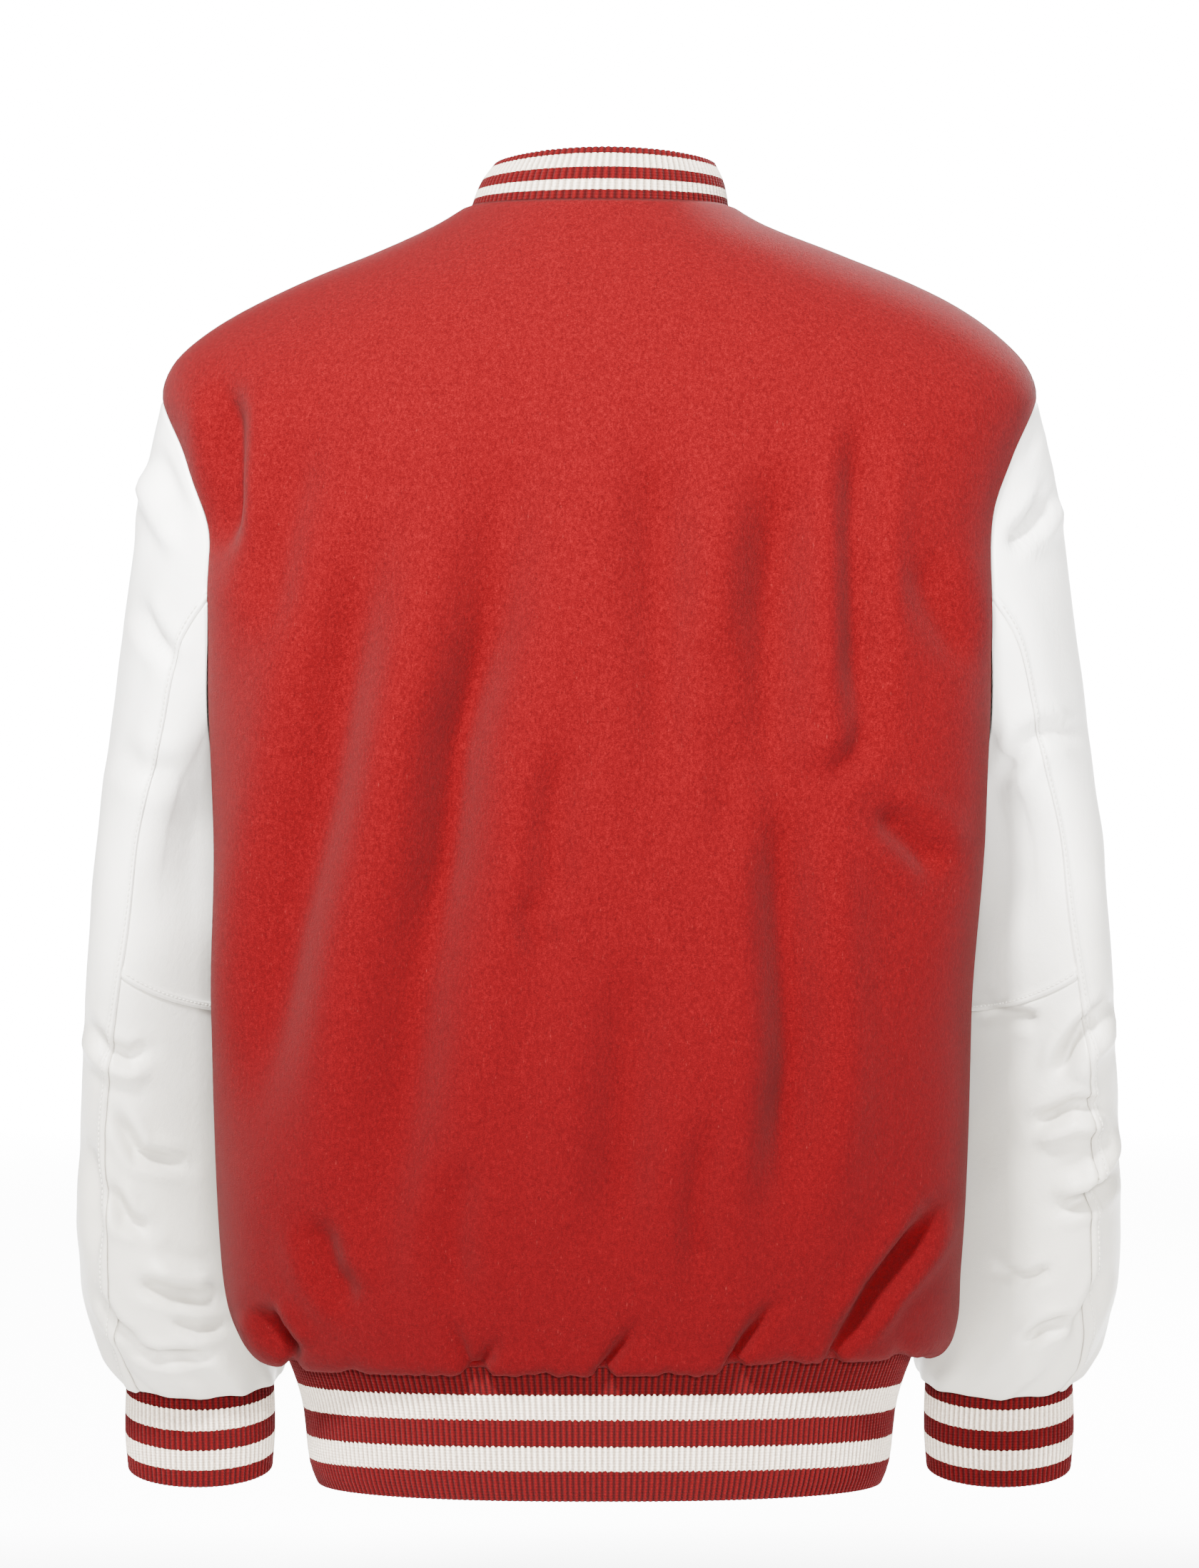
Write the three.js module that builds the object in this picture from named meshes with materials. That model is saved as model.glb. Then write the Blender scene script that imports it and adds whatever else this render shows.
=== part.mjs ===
// Varsity jacket: wool body, leather sleeves, striped rib collar, cuffs and waistband.
// Millimetres, +Z up. The front faces -Y and +X is the wearer's left.
// The origin is the centre of the neck opening, at the height of the back neck seam.
import * as THREE from "three";

// Walls and seams
const WOOL = 2.4;
const LEATHER = 1.8;
const RIB = 2.8;
const RIB_DEPTH = 0.9;
const SEAM_GAP = 0.42;
const INNER_GAP = 0.9;
const SEAT_GAP = 0.4;
const LAP = 14;
const LAP_MARGIN = 24;
const LAP_GAP = 0.9;
const LAP_BLEND = 34;
const NECK_EASE = 3.4;
const TAB_WIDTH = 40;
const TAB_WALL = 2.2;

// Ribs all round each band
const WAIST_RIBS = 264;
const COLLAR_RIBS = 121;
const CUFF_RIBS = 77;

// Rows of numbers as objects with named columns.
const table = (columns, rows) =>
  rows.map((row) => Object.fromEntries(columns.split(" ").map((name, i) => [name, row[i]])));

// Body sections, a row for each, down from the neck seam. "down" is the length along the side line.
// half: half width. side, back, front: heights of the ring there. sideY: where it is widest.
// backY, frontY: depth behind and before the axis. backPower, frontPower: how square its corners are.
const bodyRows = table("down half side back front sideY backY frontY backPower frontPower", [
  [0, 73, 2, 0, -72, 0, 74, 78, 2, 2],
  [23, 93, -10, -14, -86, 2, 84, 88, 2.05, 2.05],
  [66, 130, -26, -36, -100, 5, 98, 98, 2.15, 2.1],
  [108, 168.5, -42, -58, -112, 8, 110, 110, 2.25, 2.2],
  [143, 200, -58, -80, -122, 11, 119, 118, 2.35, 2.3],
  [170, 223, -74, -102, -134, 14, 126, 126, 2.45, 2.3],
  [191, 238, -90, -122, -146, 17, 131, 131, 2.5, 2.3],
  [210, 243, -108, -142, -160, 20, 135, 135, 2.5, 2.25],
  [243, 232, -141, -167, -180, 26, 137, 136, 2.7, 2.4],
  [275, 221, -173, -192, -200, 33, 138, 137, 2.95, 2.45],
  [322, 218, -220, -232, -236, 41, 138, 139, 2.9, 2.35],
  [382, 216, -280, -286, -288, 42, 138, 141, 2.75, 2.2],
  [437, 214, -335, -337, -338, 40, 138, 143, 2.6, 2.1],
  [540, 211, -438, -438, -438, 32, 139, 146, 2.5, 2.05],
  [610, 209.5, -508, -508, -508, 28, 140, 147, 2.4, 2.05],
  [660, 207.5, -558, -558, -558, 26, 140.5, 147, 2.4, 2.1],
  [696, 205, -594, -594, -594, 24, 140, 146, 2.4, 2.15],
  [718, 202.5, -616, -615, -615, 22, 138.5, 144, 2.4, 2.2],
  [733, 197.5, -630, -628, -628, 20, 136, 141, 2.4, 2.2],
  [743, 190.5, -637.5, -635.5, -635.5, 18, 133, 137.5, 2.4, 2.2],
  [751, 182, -640, -638, -638, 16, 129.5, 133.5, 2.4, 2.2],
  [757, 176.2, -639, -637, -637, 15, 125.6, 129.8, 2.4, 2.2],
]);

// The lower body hangs a little to the wearer's left, as in the photograph.
const BODY_LEAN = 4.5;
const SHOULDER_LEAN = 3.3;

// The armhole is a closed loop in the body's own angle and length: its top is the shoulder tip.
const TIP_DOWN = 210;
const UNDERARM_DOWN = 437;
const ARMHOLE_SPREAD = THREE.MathUtils.degToRad(22);
const UNDERARM_TURN = THREE.MathUtils.degToRad(-22);
const ARMHOLE_OUT = new THREE.Vector3(0.98, 0, -0.19).normalize();

// Sleeve sections of the wearer's left sleeve, down from the shoulder tip. Each is an ellipse, tilted so
// that its back is lower. depth: half axis towards the back. width: half axis outwards. turn: degrees
// that the back end of the depth axis is turned outwards.
const SLEEVE_TILT = THREE.MathUtils.degToRad(14);
const sleeveRows = table("down z x y depth width turn", [
  [0, -108, 144, 17, 56, 100, 2],
  [57, -165, 167, 14, 62.8, 90, 7],
  [112, -220, 200, 4.5, 63.5, 64, 14.6],
  [172, -280, 221, -16.4, 71, 49.5, 18.7],
  [227, -335, 232.5, -36, 86, 38.5, 22],
  [290, -398, 232.8, -50, 96, 38, 25],
  [332, -440, 235.4, -62, 94, 39, 26],
  [397, -505, 240, -80, 86, 42, 27],
  [436, -544, 242.5, -90, 82, 45, 26],
  [470, -578, 243.6, -98, 79, 47, 25],
  [503, -611, 243.5, -106, 71, 50, 20],
  [537, -643, 238, -114, 59, 51.5, 12],
  [552, -656.5, 233.5, -117, 50.5, 49.5, 7],
  [561, -663.5, 231.5, -119, 44, 46.5, 4],
  [565, -664.5, 231.5, -119, 38.6, 45.1, 2],
]);
const cuffRows = table("down z x y depth width turn", [
  [0, -658.5, 231.5, -118, 36, 42.6, 2],
  [1, -694, 231.8, -122, 37, 43.6, 0],
  [2, -718.5, 231.8, -124, 35.5, 42, 0],
]);

// Collar and waistband rings, in the same columns as the body's.
const collarRows = table("down half side back front sideY backY frontY backPower frontPower", [
  [0, 72.8, -1.5, -3.5, -75.5, 0, 73.8, 77.8, 2, 2],
  [1, 67.5, 14, 15, -55, 0, 70, 74, 2, 2],
  [2, 60, 26, 29.5, -37, 0, 63, 66, 2, 2],
]);
const waistRows = table("down half side back front sideY backY frontY backPower frontPower", [
  [0, 177.6, -631, -629, -629, 15, 125.7, 129.8, 2.4, 2.2],
  [1, 166, -664, -662, -662, 14, 122.5, 126, 2.4, 2.2],
  [2, 157.5, -714, -711, -712, 13, 116, 120, 2.4, 2.2],
]);

// Large folds of the body, each a soft trough from its top to its foot on the given side.
const bodyFolds = table("side topX topZ footX footZ wide deep", [
  [1, 44, -120, 120, -590, 19, 6.5],
  [1, 122, -180, 190, -520, 18, 4.5],
  [1, -32, -150, -42, -330, 18, 3.5],
  [1, -97, -150, -104, -560, 19, 6],
  [1, -142, -130, -128, -320, 15, 3.5],
  [1, -20, -420, -8, -570, 17, 3.5],
  [1, -184, -545, -136, -628, 12, 5],
  [-1, 96, -190, 118, -590, 20, 6],
  [-1, 48, -400, 58, -610, 17, 4],
  [-1, -100, -200, -112, -590, 20, 5.5],
  [-1, -52, -430, -64, -610, 17, 4],
]);

// Tucks where the wool is gathered to the waistband: x across, on the back (1) or the front (-1).
const waistTucks = table("side x wide deep", [
  [1, 169, 11, 6],
  [1, 68, 11, 7],
  [1, 0, 10, 6],
  [1, -73, 11, 7],
  [1, -130, 11, 6],
  [-1, 150, 12, 6],
  [-1, 84, 12, 6],
  [-1, -80, 12, 6],
  [-1, -146, 12, 6],
]);

// Leather creases: around is the angle where a trough is deepest, in degrees back from the outside.
// down is its distance from the shoulder tip, slant how far it falls over the width of a quarter turn.
const sleeveCreases = table("around down slant span wide deep", [
  [70, 96, 60, 50, 16, 4],
  [60, 372, 26, 55, 15, 4],
  [50, 428, -22, 50, 14, 4],
  [80, 486, 18, 60, 14, 3.5],
  [300, 250, 30, 60, 18, 4],
  [290, 400, -24, 60, 17, 5],
  [270, 490, 20, 55, 15, 4],
]);

// How many columns and rows each panel takes
const BACK_COLUMNS = 26;
const FRONT_COLUMNS = 11;
const ARMHOLE_STEPS = 10;
const yokeDowns = [0, 23, 60, 100, 140, 178];
const lowerDowns = [478, 524, 570, 616, 656, 690, 714, 731, 743, 751, 757];
const TOP_COLUMNS = 11;
const UNDER_COLUMNS = 9;
const SLEEVE_LENGTH = 565;
const UPPER_SHARES = [0, 0.025, 0.06, 0.1, 0.15, 0.2, 0.25, 0.3, 0.35, 0.4];
const LOWER_SHARES = [0.4, 0.48, 0.56, 0.64, 0.72, 0.79, 0.85, 0.9, 0.94, 0.97, 0.985, 1];
const ELBOW_SHARE = 0.4;
const ELBOW_RISE = 0.065;
const FRONT_SEAM_ANGLE = THREE.MathUtils.degToRad(252);
const SLEEVE_BLEND = 0.3;
const BODY_CLEARANCE = 4;

// Snaps down the centre front
const SNAP_RADIUS = 7.5;
const SNAP_HEIGHT = 3.4;
const SNAP_DOWNS = [30, 262, 380, 478, 576, 674];
const TAB_SNAP_SHARE = 0.62;

const materials = {
  wool: new THREE.MeshStandardMaterial({ color: 0xb3262b, roughness: 0.95, metalness: 0 }),
  leather: new THREE.MeshStandardMaterial({ color: 0xe9e8e4, roughness: 0.45, metalness: 0 }),
  rib: new THREE.MeshStandardMaterial({ color: 0x9c2024, roughness: 0.9, metalness: 0 }),
  snap: new THREE.MeshStandardMaterial({ color: 0xd8d8d8, roughness: 0.3, metalness: 1 }),
};

const { clamp, lerp } = THREE.MathUtils;
const ease = (value) => {
  const x = clamp(value, 0, 1);
  return x * x * (3 - 2 * x);
};
const signedPower = (value, power) => Math.sign(value) * Math.abs(value) ** power;
const bump = (value, wide) => Math.exp(-((value / wide) ** 2));

// A smooth smaller of two numbers, rounded over the given width.
function softMin(a, b, round) {
  const h = clamp(0.5 + (0.5 * (b - a)) / round, 0, 1);
  return lerp(b, a, h) - round * h * (1 - h);
}

// The columns of a table at any value of "down", on a smooth curve through its rows.
function section(rows, down) {
  const last = rows.length - 2;
  let i = rows.findIndex((row) => row.down > down) - 1;
  i = i < -1 ? last : clamp(i, 0, last);
  const before = rows[Math.max(i - 1, 0)];
  const [start, end] = [rows[i], rows[i + 1]];
  const after = rows[Math.min(i + 2, rows.length - 1)];
  const step = end.down - start.down;
  const t = (down - start.down) / step;
  const result = {};
  for (const key of Object.keys(start)) {
    const slopeIn = ((end[key] - before[key]) / (end.down - before.down)) * step;
    const slopeOut = ((after[key] - start[key]) / (after.down - start.down)) * step;
    result[key] =
      (1 + 2 * t) * (1 - t) ** 2 * start[key] + t * (1 - t) ** 2 * slopeIn +
      t * t * (3 - 2 * t) * end[key] + t * t * (t - 1) * slopeOut;
  }
  return result;
}

// A point of a ring at an angle: 0 is the left side, a quarter turn on is the back.
function ringPoint(rows, angle, down) {
  const row = section(rows, down);
  const [c, s] = [Math.cos(angle), Math.sin(angle)];
  const power = 2 / (s >= 0 ? row.backPower : row.frontPower);
  const reach = s >= 0 ? row.backY - row.sideY : row.frontY + row.sideY;
  const level = s >= 0 ? row.back : row.front;
  return new THREE.Vector3(
    row.half * signedPower(c, power),
    row.sideY + reach * signedPower(s, power),
    row.side + (level - row.side) * s * s,
  );
}

// The direction out of a surface, by the points a little before and after in both directions.
function outward(surface, angle, down, stepAngle, stepDown) {
  const along = surface(angle, down + stepDown).sub(surface(angle, down - stepDown));
  const around = surface(angle + stepAngle, down).sub(surface(angle - stepAngle, down));
  return along.cross(around).normalize();
}

// A point of the left sleeve's sections: angle 0 is the outside, a quarter turn on is the back.
function ellipsePoint(rows, angle, down) {
  const row = section(rows, down);
  const turn = THREE.MathUtils.degToRad(row.turn);
  const out = row.width * Math.cos(angle);
  const back = row.depth * Math.sin(angle);
  const dx = out * Math.cos(turn) + back * Math.sin(turn);
  const dy = -out * Math.sin(turn) + back * Math.cos(turn);
  return new THREE.Vector3(
    row.x + dx,
    row.y + dy * Math.cos(SLEEVE_TILT),
    row.z - dy * Math.sin(SLEEVE_TILT),
  );
}

// The x of the sleeve's side that faces the body, at a place beside the body, or far off where none is.
function sleeveLimit(y, z) {
  let row = section(sleeveRows, clamp(-108 - z, 0, 540));
  row = section(sleeveRows, clamp(-108 - z - (y - row.y) * Math.tan(SLEEVE_TILT), 0, 540));
  const turn = THREE.MathUtils.degToRad(row.turn);
  const [c, s] = [Math.cos(turn), Math.sin(turn)];
  const depth = row.depth + BODY_CLEARANCE;
  const width = row.width + BODY_CLEARANCE;
  const dy = (y - row.y) / Math.cos(SLEEVE_TILT);
  const square = (s / depth) ** 2 + (c / width) ** 2;
  const half = (dy * c * s) / depth ** 2 - (dy * c * s) / width ** 2;
  const rest = ((dy * c) / depth) ** 2 + ((dy * s) / width) ** 2 - 1;
  const inside = half * half - square * rest;
  return inside > 0 ? row.x + (-half - Math.sqrt(inside)) / square : 1000;
}

// The body before its folds: rings, pressed in a little beside the hanging sleeves.
function bodyForm(angle, down) {
  const p = ringPoint(bodyRows, angle, down);
  p.x -= SHOULDER_LEAN * ease((down - 10) / 60) * (1 - ease((down - 120) / 70));
  p.x += BODY_LEAN * ease((down - UNDERARM_DOWN - 8) / 110) * (1 - ease((down - 640) / 110));
  const pressed = ease((down - UNDERARM_DOWN + 25) / 35) * (1 - ease((down - 640) / 60));
  if (pressed > 0) {
    const limit = sleeveLimit(p.y, p.z);
    const x = softMin(Math.abs(p.x), limit, 8);
    p.x = Math.sign(p.x) * lerp(Math.abs(p.x), Math.min(x, Math.abs(p.x)), pressed);
  }
  return p;
}

// How far folds and tucks draw the body in at a place.
function foldDepth(angle, down, p) {
  const side = Math.sin(angle) >= 0 ? 1 : -1;
  const facing = ease((Math.abs(Math.sin(angle)) - 0.1) / 0.35);
  const free = ease((down - 90) / 90) * (1 - ease((down - 700) / 40));
  let depth = 0;
  for (const fold of bodyFolds) {
    if (fold.side !== side) continue;
    const share = (p.z - fold.topZ) / (fold.footZ - fold.topZ);
    const middle = lerp(fold.topX, fold.footX, share);
    const ends = ease(share / 0.3 + 0.3) * ease((1 - share) / 0.3 + 0.3);
    depth += fold.deep * bump(p.x - middle, fold.wide) * ends * facing * free;
  }
  const gathered = ease((down - 655) / 60) * (1 - ease((down - 744) / 12));
  for (const tuck of waistTucks) {
    if (tuck.side !== side) continue;
    depth += tuck.deep * bump(p.x - tuck.x, tuck.wide) * gathered * facing;
  }
  return depth;
}

const bodyNormal = (angle, down) => outward(bodyForm, angle, down, 0.02, 3);

function bodySurface(angle, down) {
  const p = bodyForm(angle, down);
  return p.addScaledVector(bodyNormal(angle, down), -foldDepth(angle, down, p));
}

// The armhole's loop, by the sleeve's own angle: 0 is the shoulder tip, half a turn is the underarm.
const loopAngle = (around) =>
  (UNDERARM_TURN * (1 - Math.cos(around))) / 2 + ARMHOLE_SPREAD * Math.sin(around);
const loopDown = (around) => lerp(TIP_DOWN, UNDERARM_DOWN, (1 - Math.cos(around)) / 2);
const armhole = (around) => bodySurface(loopAngle(around), loopDown(around));

// The section that meets the armhole at each angle round the sleeve.
const loopStarts = new Map();
function loopStart(around) {
  const key = around.toFixed(5);
  if (!loopStarts.has(key)) {
    const target = armhole(around).addScaledVector(ARMHOLE_OUT, SEAT_GAP);
    let down = -108 - target.z;
    for (let turn = 0; turn < 12; turn += 1) {
      down = clamp(down + ellipsePoint(sleeveRows, around, down).z - target.z, 0, 300);
    }
    loopStarts.set(key, { down, shift: target.sub(ellipsePoint(sleeveRows, around, down)) });
  }
  return loopStarts.get(key);
}

// How far the leather's creases draw it in.
function creaseDepth(around, down) {
  const degrees = THREE.MathUtils.radToDeg(around);
  let depth = 0;
  for (const crease of sleeveCreases) {
    let offset = degrees - crease.around;
    offset -= 360 * Math.round(offset / 360);
    const line = crease.down + (crease.slant * offset) / 90;
    depth += crease.deep * bump(offset, crease.span) * bump(down - line, crease.wide);
  }
  return depth;
}

// The left sleeve: share 0 is the armhole seam and 1 the edge that is turned in to the cuff.
function sleeveForm(around, share) {
  const start = loopStart(around);
  const down = lerp(start.down, SLEEVE_LENGTH, share);
  const p = ellipsePoint(sleeveRows, around, down);
  return p.addScaledVector(start.shift, 1 - ease(share / SLEEVE_BLEND));
}

const sleeveNormal = (around, share) =>
  outward(sleeveForm, around, clamp(share, 0.004, 0.996), 0.03, 0.004);

function sleeveSurface(around, share) {
  const down = lerp(loopStart(around).down, SLEEVE_LENGTH, share);
  const free = ease(share / 0.12) * (1 - ease((share - 0.93) / 0.05));
  return sleeveForm(around, share).addScaledVector(
    sleeveNormal(around, share),
    -creaseDepth(around, down) * free,
  );
}

// Values of a curve's parameter that cut it into equal lengths.
function evenSteps(curve, from, to, count) {
  const samples = 240;
  const lengths = [0];
  let previous = curve(from);
  for (let i = 1; i <= samples; i += 1) {
    const next = curve(lerp(from, to, i / samples));
    lengths.push(lengths[i - 1] + next.distanceTo(previous));
    previous = next;
  }
  const steps = [];
  let i = 0;
  for (let k = 0; k <= count; k += 1) {
    const target = (lengths[samples] * k) / count;
    while (i < samples - 1 && lengths[i + 1] < target) i += 1;
    const part = (target - lengths[i]) / (lengths[i + 1] - lengths[i]);
    steps.push(lerp(from, to, (i + clamp(part, 0, 1)) / samples));
  }
  return steps;
}

// A closed mesh from points and faces, turned so that its faces point out.
function solid(name, material, points, faces) {
  let volume = 0;
  const [a, b] = [new THREE.Vector3(), new THREE.Vector3()];
  for (const [i, j, k] of faces) {
    volume += a.copy(points[i]).dot(b.copy(points[j]).cross(points[k]));
  }
  const index = volume > 0 ? faces.flat() : faces.map(([i, j, k]) => [i, k, j]).flat();
  const geometry = new THREE.BufferGeometry();
  geometry.setAttribute(
    "position",
    new THREE.Float32BufferAttribute(points.flatMap((p) => [p.x, p.y, p.z]), 3),
  );
  geometry.setIndex(index);
  geometry.computeVertexNormals();
  const mesh = new THREE.Mesh(geometry, material);
  mesh.name = name;
  return mesh;
}

// A wall between an outer grid of points and an inner one, closed at its four edges.
function wall(name, material, outer, inner) {
  const rows = outer.length;
  const columns = outer[0].length;
  const points = [...outer.flat(), ...inner.flat()];
  const faces = [];
  const at = (layer, row, column) => layer * rows * columns + row * columns + column;
  const quad = (i, j, k, l, cut) => {
    if (cut) faces.push([i, j, k], [i, k, l]);
    else faces.push([i, j, l], [j, k, l]);
  };
  for (let row = 0; row + 1 < rows; row += 1) {
    for (let column = 0; column + 1 < columns; column += 1) {
      const cut =
        outer[row][column].distanceTo(outer[row + 1][column + 1]) <
        outer[row][column + 1].distanceTo(outer[row + 1][column]);
      const corners = (layer) => [
        at(layer, row, column), at(layer, row, column + 1),
        at(layer, row + 1, column + 1), at(layer, row + 1, column),
      ];
      quad(...corners(0), cut);
      const [i, j, k, l] = corners(1);
      if (cut) faces.push([i, k, j], [i, l, k]);
      else faces.push([i, l, j], [j, l, k]);
    }
  }
  for (let column = 0; column + 1 < columns; column += 1) {
    quad(at(0, 0, column + 1), at(0, 0, column), at(1, 0, column), at(1, 0, column + 1), true);
    const end = rows - 1;
    quad(at(0, end, column), at(0, end, column + 1), at(1, end, column + 1), at(1, end, column), true);
  }
  for (let row = 0; row + 1 < rows; row += 1) {
    quad(at(0, row, 0), at(0, row + 1, 0), at(1, row + 1, 0), at(1, row, 0), true);
    const end = columns - 1;
    quad(at(0, row + 1, end), at(0, row, end), at(1, row, end), at(1, row + 1, end), true);
  }
  return solid(name, material, points, faces);
}

// Moves the edges of a grid back from its seams by half a gap.
function easeEdges(grid, edges, gap) {
  const pull = (edge, next) => {
    const way = next.clone().sub(edge).normalize();
    return edge.clone().addScaledVector(way, gap / 2);
  };
  const result = grid.map((row) => row.map((p) => p.clone()));
  const lastRow = grid.length - 1;
  const lastColumn = grid[0].length - 1;
  grid.forEach((row, i) => {
    if (edges.first) result[i][0] = pull(row[0], row[1]);
    if (edges.last) result[i][lastColumn] = pull(row[lastColumn], row[lastColumn - 1]);
  });
  for (let j = 0; j <= lastColumn; j += 1) {
    if (edges.top) result[0][j] = pull(result[0][j], grid[1][j]);
    if (edges.bottom) result[lastRow][j] = pull(result[lastRow][j], grid[lastRow - 1][j]);
  }
  return result;
}

// The direction in which a wall's edge is cut at the armhole, between its own way out and its mate's.
function mitre(own, mate) {
  const share = ease((own.dot(mate) + 0.3) / 0.8);
  const way = own.clone().addScaledVector(mate, share).normalize();
  return way.divideScalar(Math.max(way.dot(own), 0.75));
}

// The direction in which the body's neck edge is cut, so that it lies along the collar.
function neckCut(angle, normal) {
  const way = ringPoint(collarRows, angle, 0.3).sub(ringPoint(collarRows, angle, 0)).normalize();
  return way.divideScalar(Math.max(way.dot(normal), 0.72));
}

// Rows of the body: its length down, and where the armhole cuts it, the angle round the armhole.
const bodyLevels = [
  ...yokeDowns.map((down) => ({ down })),
  ...Array.from({ length: ARMHOLE_STEPS + 1 }, (_, k) => {
    const around = (Math.PI * k) / ARMHOLE_STEPS;
    return { down: loopDown(around), around };
  }),
  ...lowerDowns.map((down) => ({ down })),
];

// The angle at which the back or the front begins on a side, at a level.
function edgeAngle(level, isBack) {
  if (level.around === undefined) return level.down > UNDERARM_DOWN ? UNDERARM_TURN : 0;
  return loopAngle(isBack ? level.around : 2 * Math.PI - level.around);
}

// The wearer's right side mirrors the left in x, so an angle there is half a turn less the left's.
function bodyPanel(name, isBack, side, lapShift) {
  const outer = [];
  const inner = [];
  for (const level of bodyLevels) {
    const edge = edgeAngle(level, isBack);
    let from = side > 0 ? edge : Math.PI - edge;
    let to = isBack ? Math.PI - edge : 0;
    if (!isBack) {
      const row = section(bodyRows, level.down);
      const past = Math.asin((LAP / row.half) ** (row.frontPower / 2));
      from = side > 0 ? edge : -Math.PI - edge;
      to = side > 0 ? -Math.PI / 2 - past : -Math.PI / 2 + past;
    }
    const curve = (angle) => bodyForm(angle, level.down);
    const angles = evenSteps(curve, from, to, isBack ? BACK_COLUMNS : FRONT_COLUMNS);
    const outerRow = [];
    const innerRow = [];
    angles.forEach((angle, column) => {
      const normal = bodyNormal(angle, level.down);
      const across = side * bodyForm(angle, level.down).x;
      const lapped = lapShift ? 1 - ease((across - LAP - LAP_MARGIN) / LAP_BLEND) : 0;
      const eased = level.down === 0 && lapShift < 0 ? NECK_EASE * lapped : 0;
      const p = bodySurface(angle, level.down + eased).addScaledVector(normal, lapShift * lapped);
      const first = column === 0;
      const last = column === angles.length - 1;
      let cut = level.down === 0 ? neckCut(angle, normal) : normal;
      if (level.around !== undefined && (first || (isBack && last))) {
        const mirrored = isBack ? last : side < 0;
        const mate = sleeveNormal(isBack ? level.around : 2 * Math.PI - level.around, 0);
        if (mirrored) mate.x *= -1;
        cut = mitre(normal, mate);
      }
      outerRow.push(p);
      innerRow.push(p.clone().addScaledVector(cut, -WOOL));
    });
    outer.push(outerRow);
    inner.push(innerRow);
  }
  const edges = { first: true, last: isBack, top: false, bottom: false };
  return wall(name, materials.wool, easeEdges(outer, edges, SEAM_GAP), easeEdges(inner, edges, SEAM_GAP));
}

// The back seam swings inwards above the elbow and out again to the outer side of the cuff.
// down: the share of the sleeve's length. angle: degrees round the sleeve.
const seamRows = table("down angle", [
  [0, 90],
  [0.06, 90],
  [0.17, 101],
  [0.28, 106],
  [0.4, 103],
  [0.61, 93],
  [0.77, 90],
  [0.88, 76],
  [1, 46],
]);
const seamAngle = (share) => THREE.MathUtils.degToRad(section(seamRows, share).angle);

// The rows of the under panels rise between their seams, so that the elbow seam is nearly straight.
function underShare(around, seam, share) {
  const across = Math.sin((Math.PI * (around - seam)) / (FRONT_SEAM_ANGLE - seam));
  const near = share < ELBOW_SHARE ? share / ELBOW_SHARE : (1 - share) / (1 - ELBOW_SHARE);
  return share - ELBOW_RISE * across * near;
}

function sleevePanel(name, side, shares, isTop, edges) {
  const columns = isTop ? TOP_COLUMNS : UNDER_COLUMNS;
  const outer = [];
  const inner = [];
  for (const share of shares) {
    const seam = seamAngle(share);
    const from = isTop ? FRONT_SEAM_ANGLE : seam;
    const to = isTop ? 2 * Math.PI + seam : FRONT_SEAM_ANGLE;
    const outerRow = [];
    const innerRow = [];
    for (let column = 0; column <= columns; column += 1) {
      const around = lerp(from, to, column / columns);
      const at = isTop ? share : underShare(around, seam, share);
      const p = sleeveSurface(around, at);
      const normal = sleeveNormal(around, at);
      let cut = normal;
      if (share === 0) cut = mitre(normal, bodyNormal(loopAngle(around), loopDown(around)));
      const q = p.clone().addScaledVector(cut, -LEATHER);
      p.x *= side;
      q.x *= side;
      outerRow.push(p);
      innerRow.push(q);
    }
    outer.push(outerRow);
    inner.push(innerRow);
  }
  const all = { first: true, last: true, ...edges };
  return wall(name, materials.leather, easeEdges(outer, all, SEAM_GAP), easeEdges(inner, all, INNER_GAP));
}

// Triangles between two rows of points with different counts, that run side by side.
function zip(first, second, faces) {
  let [i, j] = [0, 0];
  while (i + 1 < first.length || j + 1 < second.length) {
    const nextFirst = (i + 1) / (first.length - 1);
    const nextSecond = (j + 1) / (second.length - 1);
    if (j + 1 >= second.length || (i + 1 < first.length && nextFirst <= nextSecond)) {
      faces.push([first[i], first[i + 1], second[j]]);
      i += 1;
    } else {
      faces.push([first[i], second[j + 1], second[j]]);
      j += 1;
    }
  }
}

// A band of rib knit: ribs in its outer points, a plain inside. A closed band joins its own ends.
function ribBand(name, { surface, normal, angles, innerAngles, downs, closed, mirror }) {
  const points = [];
  const grid = (list, offset) =>
    downs.map((down) =>
      list.map((angle, column) => {
        const p = surface(angle, down).addScaledVector(normal(angle, down), -offset(column));
        if (mirror) p.x *= -1;
        points.push(p);
        return points.length - 1;
      }),
    );
  const outer = grid(angles, (column) => (column % 2 ? RIB_DEPTH : 0));
  const inner = grid(innerAngles, () => RIB);
  if (closed) [...outer, ...inner].forEach((row) => row.push(row[0]));
  const faces = [];
  const skin = (rows, flip) => {
    for (let r = 0; r + 1 < rows.length; r += 1) {
      for (let c = 0; c + 1 < rows[r].length; c += 1) {
        const [i, j, k, l] = [rows[r][c], rows[r][c + 1], rows[r + 1][c + 1], rows[r + 1][c]];
        if (flip) faces.push([i, k, j], [i, l, k]);
        else faces.push([i, j, k], [i, k, l]);
      }
    }
  };
  skin(outer, false);
  skin(inner, true);
  const end = downs.length - 1;
  zip(inner[0], outer[0], faces);
  zip(outer[end], inner[end], faces);
  if (!closed) {
    for (let r = 0; r < end; r += 1) {
      const [a, b, c, d] = [outer[r][0], outer[r + 1][0], inner[r + 1][0], inner[r][0]];
      faces.push([a, b, c], [a, c, d]);
      const w = outer[r].length - 1;
      const v = inner[r].length - 1;
      faces.push([outer[r + 1][w], outer[r][w], inner[r][v]]);
      faces.push([outer[r + 1][w], inner[r][v], inner[r + 1][v]]);
    }
  }
  return solid(name, materials.rib, points, faces);
}

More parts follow.
